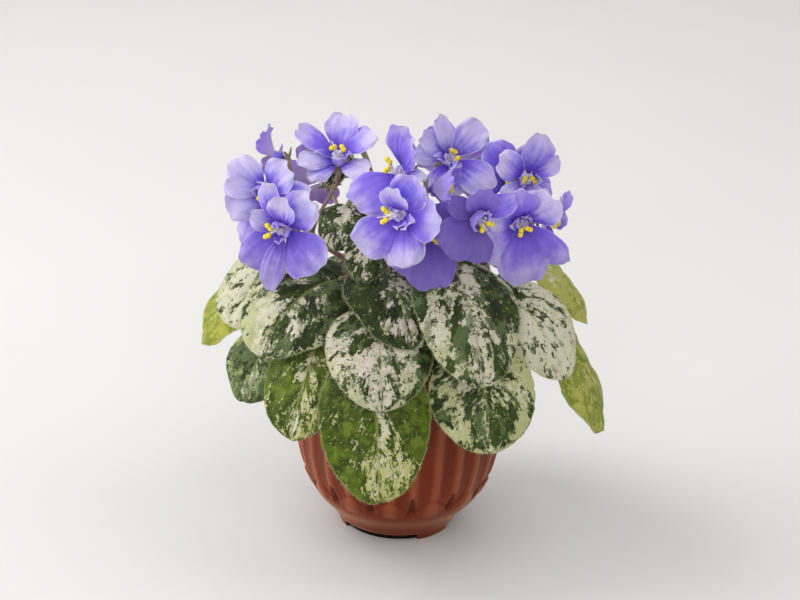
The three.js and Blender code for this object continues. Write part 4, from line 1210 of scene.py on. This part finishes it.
def on_feet(turn):
    """1 over the pot's feet, 0 between them."""
    azimuth = np.degrees(turn) + 90
    share = np.zeros(len(turn))
    for foot in FOOT["azimuths"]:
        apart = np.abs((azimuth - foot + 180) % 360 - 180)
        share = np.maximum(share, 1 - ease(FOOT["width"] / 2 - 1.5, FOOT["width"] / 2, apart))
    return share


def make_pot(settings):
    """The pot: a profile carried round the axis, from under the floor, over the feet, up the
    wall, over the lip and down inside, with its drain holes cut through. Each ring of it is
    the radius, the height and the share of ridge at every turn."""
    turn = np.linspace(0, 2 * np.pi, 16 * POT["ribs"], endpoint=False)
    flat = 0 * turn
    clear = 1 - on_feet(turn)
    step = (POT["feet"] + BASE["step"]) * clear
    recess = POT["feet"] + BASE["recess"]
    hem = BASE["hem"] * clear
    inner, outer = FOOT["inner"], FOOT["outer"]
    under = [(0.05, recess), (9, recess), (inner - 0.1, recess), (inner, hem), (outer - 1.6, hem),
             (outer - 1.3, step), (outer - 0.4, step)]
    # The rings under the pot get a tone of -1, which the plastic finish paints as shade.
    rings = [(flat + radius, flat + height, flat - 1) for radius, height in under]
    rings.append((flat + outer, step + 0.35, flat))
    low = step + 0.6
    rows = np.concatenate([np.linspace(0, 78, 100), RIM_ROWS])
    for share in rows / rows[-1]:
        height = low + (POT["height"] - 0.2 - low) * share
        relief, ridge = wall_relief(height, turn, settings.rib_depth / MM)
        rings.append((smooth_wall(height) + relief, height, ridge))
    inside = [*LIP, *reversed(CAVITY[:-1]), (POT["floor"], 9), (POT["floor"], 0.05)]
    rings += [(flat + radius, flat + height, flat) for height, radius in inside]
    radius, height, ridge = (np.array(values) for values in zip(*rings))
    points = np.stack([radius * np.cos(turn), radius * np.sin(turn), height], -1)
    piece = Piece("violet_pot", (pot_finish(settings), underside_shade_finish()))
    piece.rings(points, 0, 0)
    # The faces under the pot take the underside finish, which is painted shade.
    shaded = (len(under) - 1) * len(turn)
    piece.worn[:shaded] = [1] * shaded
    piece.tones = [ridge.ravel()]
    made = piece.build()
    cut_drains(made)
    settle(made, "pot", "pot")


def cut_drains(pot):
    """Cuts the drain holes through the floor."""
    piece = Piece("drain_cutter", pot.data.materials[:])
    for i in range(DRAIN["count"]):
        middle = outward(i * 360 / DRAIN["count"] + DRAIN["azimuth"]) * DRAIN["reach"]
        piece.tube(middle + UP * np.array([[-1.0], [7.0]]), [DRAIN["radius"]] * 2, 24, 0, 0)
    cutter = piece.build()
    cut = pot.modifiers.new("drain_holes", "BOOLEAN")
    cut.operation = "DIFFERENCE"
    cut.solver = "EXACT"
    cut.object = cutter
    shaped = bpy.data.meshes.new_from_object(pot.evaluated_get(bpy.context.evaluated_depsgraph_get()))
    pot.modifiers.clear()
    pot.data = shaped
    bpy.data.objects.remove(cutter)


def make_soil():
    """The potting mix: a crumbly top with pale grains in it, and a plain side and base."""
    low, high = CAVITY[-2], CAVITY[-1]
    edge = low[1] + (high[1] - low[1]) * (SOIL["top"] - low[0]) / (high[0] - low[0]) - GAP
    hole = STEM["radius"] + GAP
    turn = np.linspace(0, 2 * np.pi, 160, endpoint=False)
    reach = np.linspace(hole, edge, 40)
    radius, around = np.meshgrid(reach, turn, indexing="ij")
    x, y = radius * np.cos(around), radius * np.sin(around)
    crumbs = np.sin(1.9 * x + 0.7 * np.sin(1.3 * y)) * np.sin(1.7 * y + 1.1 * np.sin(0.9 * x))
    fine = np.sin(4.3 * x + 2 * np.sin(2.1 * y)) * np.sin(3.9 * y + 1.7 * np.sin(2.6 * x))
    held = between(radius, hole, hole + 2, edge - 2, edge)
    swell = np.interp(reach / edge, [0, 0.4, 0.72, 1], [0, 0.3, 1, 0])[:, None] * SOIL["swell"]
    height = SOIL["top"] - 0.5 + swell + held * (0.35 * crumbs + 0.2 * fine)
    ring = level_ring(turn)
    pit = [ring * r + UP * STEM["foot"] for r in (0.05, hole)]
    wall = [ring * (r - GAP) + UP * h for h, r in reversed(CAVITY[1:-1])]
    floor = [ring * r + UP * (POT["floor"] + GAP) for r in (CAVITY[0][1] - GAP, 0.05)]
    points = np.concatenate([pit, np.stack([x, y, height], -1), wall, floor])
    piece = Piece("violet_potting_mix", (soil_finish(), grain_finish()))
    piece.rings(points[::-1], 0, 0)
    add_grains(piece, edge - 3)
    settle(piece.build(), "soil", "soil")


def add_grains(piece, reach):
    """Pale grains scattered over the potting mix."""
    draw = np.random.default_rng(SEEDS["soil"])
    for _ in range(SOIL["grains"]):
        away, angle = draw.uniform(10, reach), draw.uniform(0, 2 * np.pi)
        at = np.array([away * np.cos(angle), away * np.sin(angle), SOIL["top"] + 0.2])
        axis, radius = draw.normal(size=3), draw.uniform(0.5, 1.0)
        piece.rings(egg(at, axis, radius, lambda angle: 1 + 0.2 * np.sin(3 * angle), 6, 7), 0, 1)


# The stage


def make_stage(settings):
    """A wide pale floor, soft light that is strongest from the left, and the camera in front."""
    piece = Piece("pale_floor", (floor_finish(settings),))
    corners = np.array([[-1, -1, 0], [1, -1, 0], [1, 1, 0], [-1, 1, 0]], float)
    piece.add(corners * FLOOR, corners[:, :2], 0, [np.array([[0, 1, 2, 3]])], 0)
    floor = piece.build()
    for name, (at, size) in LIGHTS.items():
        add_light(f"{name}_light", at, size, getattr(settings, name))
    world = bpy.data.worlds.new("soft_daylight")
    world.use_nodes = True
    background = world.node_tree.nodes["Background"]
    background.inputs["Color"].default_value = (0.98, 0.98, 1, 1)
    background.inputs["Strength"].default_value = settings.sky
    bpy.context.scene.world = world
    bpy.context.scene.view_settings.view_transform = "Standard"
    add_camera()


def add_light(name, at, size, watts):
    """A square soft light that faces the plant."""
    light = bpy.data.lights.new(name, "AREA")
    light.energy = watts
    light.size = size * MM
    back = unit(np.subtract(at, LIT))
    side = unit(np.cross(UP, back))
    place(name, light, looking(side, np.cross(back, side), back, at))


def looking(side, upright, back, at):
    """The matrix of a light or camera from its three axes and its place in millimetres."""
    rows = np.stack([side, upright, back, np.asarray(at, float) * MM], 1)
    return Matrix([*rows.tolist(), [0, 0, 0, 1]])


def add_camera():
    """The camera: from the front, above the horizon, and turned a little about its view."""
    above, roll = np.radians(CAMERA["above"]), np.radians(CAMERA["roll"])
    back = np.array([0, -np.cos(above), np.sin(above)])
    upright = np.array([0, np.sin(above), np.cos(above)])
    right = np.array([1.0, 0, 0])
    camera = bpy.data.cameras.new("camera")
    camera.lens = CAMERA["lens"]
    camera.sensor_width = CAMERA["sensor"]
    side = right * np.cos(roll) + upright * np.sin(roll)
    top = upright * np.cos(roll) - right * np.sin(roll)
    at = np.array(CAMERA["target"]) + back * CAMERA["distance"]
    bpy.context.scene.camera = place("camera", camera, looking(side, top, back, at))


# Settings


def colour_property(name, description, default):
    """A colour that a user can change."""
    return bpy.props.FloatVectorProperty(
        name=name, description=description, default=default, subtype="COLOR", size=4, min=0, max=1)


def length_property(name, description, default, low, high):
    """A length that a user can change, given in millimetres."""
    return bpy.props.FloatProperty(
        name=name, description=description, default=default * MM, min=low * MM, max=high * MM, unit="LENGTH")


def share_property(name, description, default, high):
    """A share of another size that a user can change."""
    return bpy.props.FloatProperty(
        name=name, description=description, default=default, min=0, max=high, subtype="FACTOR")


def power_property(name, description, default):
    """The power of a light in watts."""
    return bpy.props.FloatProperty(name=name, description=description, default=default, min=0, unit="POWER")


class VioletLeafSettings(bpy.types.PropertyGroup):
    """Sizes and colours of the leaves."""

    thickness: length_property("Blade thickness", "Thickness of a leaf at its midrib", 0.6, 0.3, 2)
    quilt: length_property("Quilting", "How far the blade swells between its side veins", 0.7, 0, 1.5)
    scallop: share_property("Scallops", "Depth of the scallops as a share of the half width", 0.014, 0.05)
    hair: length_property("Hair length", "Length of the fine hairs", 1.1, 0, 3)
    cream: colour_property("Cream", "Ground colour of the leaves", tint(205, 201, 176))
    blush: colour_property("Blush", "Pinkish ground colour of the leaves", tint(206, 193, 182))


class VioletBloomSettings(bpy.types.PropertyGroup):
    """Sizes and colours of the blooms."""

    petal_thickness: length_property("Petal thickness", "Thickness of a petal at its middle", 0.4, 0.2, 1)
    ruffle: share_property("Ruffle", "Height of the ruffles as a share of the bloom's size", 0.055, 0.1)
    petal: colour_property("Petal", "Main colour of the petals", tint(120, 96, 220))
    edge: colour_property("Edge", "Colour of the petals towards the margin", tint(160, 142, 238))
    faded: colour_property("Faded", "Colour of the palest petals", tint(212, 206, 236))
    # Painted shade: the greyer violet that the lowest petals and the darkest blooms are darkened towards.
    low: colour_property("Low petal shade", "Colour that the lowest petals turn to", tint(106, 86, 156))
    throat: colour_property("Throat", "Colour near the throat", tint(84, 54, 184))
    anther: colour_property("Anther", "Colour of the anthers", tint(236, 206, 24))


class VioletPotSettings(bpy.types.PropertyGroup):
    """Sizes and colours of the pot."""

    rib_depth: length_property("Rib depth", "Half the height of the wall's ribs", POT["rib_depth"], 0, 1)
    plastic: colour_property("Plastic", "Main colour of the pot", tint(102, 29, 0))
    plastic_light: colour_property("Light plastic", "Lighter colour in the pot", tint(116, 39, 4))


class VioletStageSettings(bpy.types.PropertyGroup):
    """The floor and the light."""

    floor: colour_property("Floor", "Main colour of the floor", tint(224, 223, 221))
    floor_shade: colour_property("Floor shade", "Second colour of the floor", tint(219, 218, 215))
    left: power_property("Left light", "Light from the left", 15.5)
    right: power_property("Right light", "Light from the right", 9)
    low: power_property("Low light", "Light from low on the left", 8)
    front: power_property("Front light", "Light from the front", 14)
    back: power_property("Back light", "Light from behind", 9.5)
    sky: bpy.props.FloatProperty(
        name="Sky", description="Strength of the light from all round", default=0.25, min=0)


# Operators


class VIOLET_OT_pot(bpy.types.Operator):
    """Build the ribbed pot"""

    bl_idname = "violet.pot"
    bl_label = "Build Pot"

    def execute(self, context):
        make_pot(context.scene.violet_pot)
        return {"FINISHED"}


class VIOLET_OT_soil(bpy.types.Operator):
    """Build the potting mix"""

    bl_idname = "violet.soil"
    bl_label = "Build Potting Mix"

    def execute(self, context):
        make_soil()
        return {"FINISHED"}


class VIOLET_OT_leaves(bpy.types.Operator):
    """Build the outer leaves"""

    bl_idname = "violet.leaves"
    bl_label = "Build Leaves"

    def execute(self, context):
        make_leaves(context.scene.violet_leaves)
        return {"FINISHED"}


class VIOLET_OT_crown(bpy.types.Operator):
    """Build the stem with its young leaves"""

    bl_idname = "violet.crown"
    bl_label = "Build Young Leaves"

    def execute(self, context):
        make_crown(context.scene.violet_leaves)
        return {"FINISHED"}


class VIOLET_OT_sprays(bpy.types.Operator):
    """Build the flower stalks"""

    bl_idname = "violet.sprays"
    bl_label = "Build Flower Stalks"

    def execute(self, context):
        make_sprays()
        return {"FINISHED"}


class VIOLET_OT_blooms(bpy.types.Operator):
    """Build the corollas"""

    bl_idname = "violet.blooms"
    bl_label = "Build Blooms"

    def execute(self, context):
        make_blooms(context.scene.violet_blooms)
        return {"FINISHED"}


class VIOLET_OT_stamens(bpy.types.Operator):
    """Build the anthers"""

    bl_idname = "violet.stamens"
    bl_label = "Build Anthers"

    def execute(self, context):
        make_stamens(context.scene.violet_blooms)
        return {"FINISHED"}


class VIOLET_OT_stage(bpy.types.Operator):
    """Build the floor, the lights and the camera"""

    bl_idname = "violet.stage"
    bl_label = "Build Stage"

    def execute(self, context):
        make_stage(context.scene.violet_stage)
        return {"FINISHED"}


class VIOLET_PT_panel(bpy.types.Panel):
    """Lists the settings and the pieces"""

    bl_label = "Potted African Violet"
    bl_idname = "VIOLET_PT_panel"
    bl_space_type = "VIEW_3D"
    bl_region_type = "UI"
    bl_category = "Violet"

    def draw(self, context):
        layout = self.layout
        for name, (group, operators) in PARTS.items():
            box = layout.box()
            box.label(text=name)
            settings = getattr(context.scene, group)
            for key in settings.__annotations__:
                box.prop(settings, key)
            for operator in operators:
                box.operator(operator.bl_idname)


PARTS = {
    "Pot": ("violet_pot", (VIOLET_OT_pot, VIOLET_OT_soil)),
    "Leaves": ("violet_leaves", (VIOLET_OT_leaves, VIOLET_OT_crown)),
    "Blooms": ("violet_blooms", (VIOLET_OT_sprays, VIOLET_OT_blooms, VIOLET_OT_stamens)),
    "Stage": ("violet_stage", (VIOLET_OT_stage,)),
}
GROUPS = {
    "violet_pot": VioletPotSettings,
    "violet_leaves": VioletLeafSettings,
    "violet_blooms": VioletBloomSettings,
    "violet_stage": VioletStageSettings,
}
OPERATORS = tuple(operator for _, operators in PARTS.values() for operator in operators)
CLASSES = (*GROUPS.values(), *OPERATORS, VIOLET_PT_panel)


def register():
    for cls in CLASSES:
        bpy.utils.register_class(cls)
    for name, group in GROUPS.items():
        setattr(bpy.types.Scene, name, bpy.props.PointerProperty(type=group))


def unregister():
    for name in GROUPS:
        delattr(bpy.types.Scene, name)
    for cls in reversed(CLASSES):
        bpy.utils.unregister_class(cls)


def main():
    register()
    for operator in OPERATORS:
        family, name = operator.bl_idname.split(".")
        getattr(getattr(bpy.ops, family), name)()


if __name__ == "__main__":
    main()
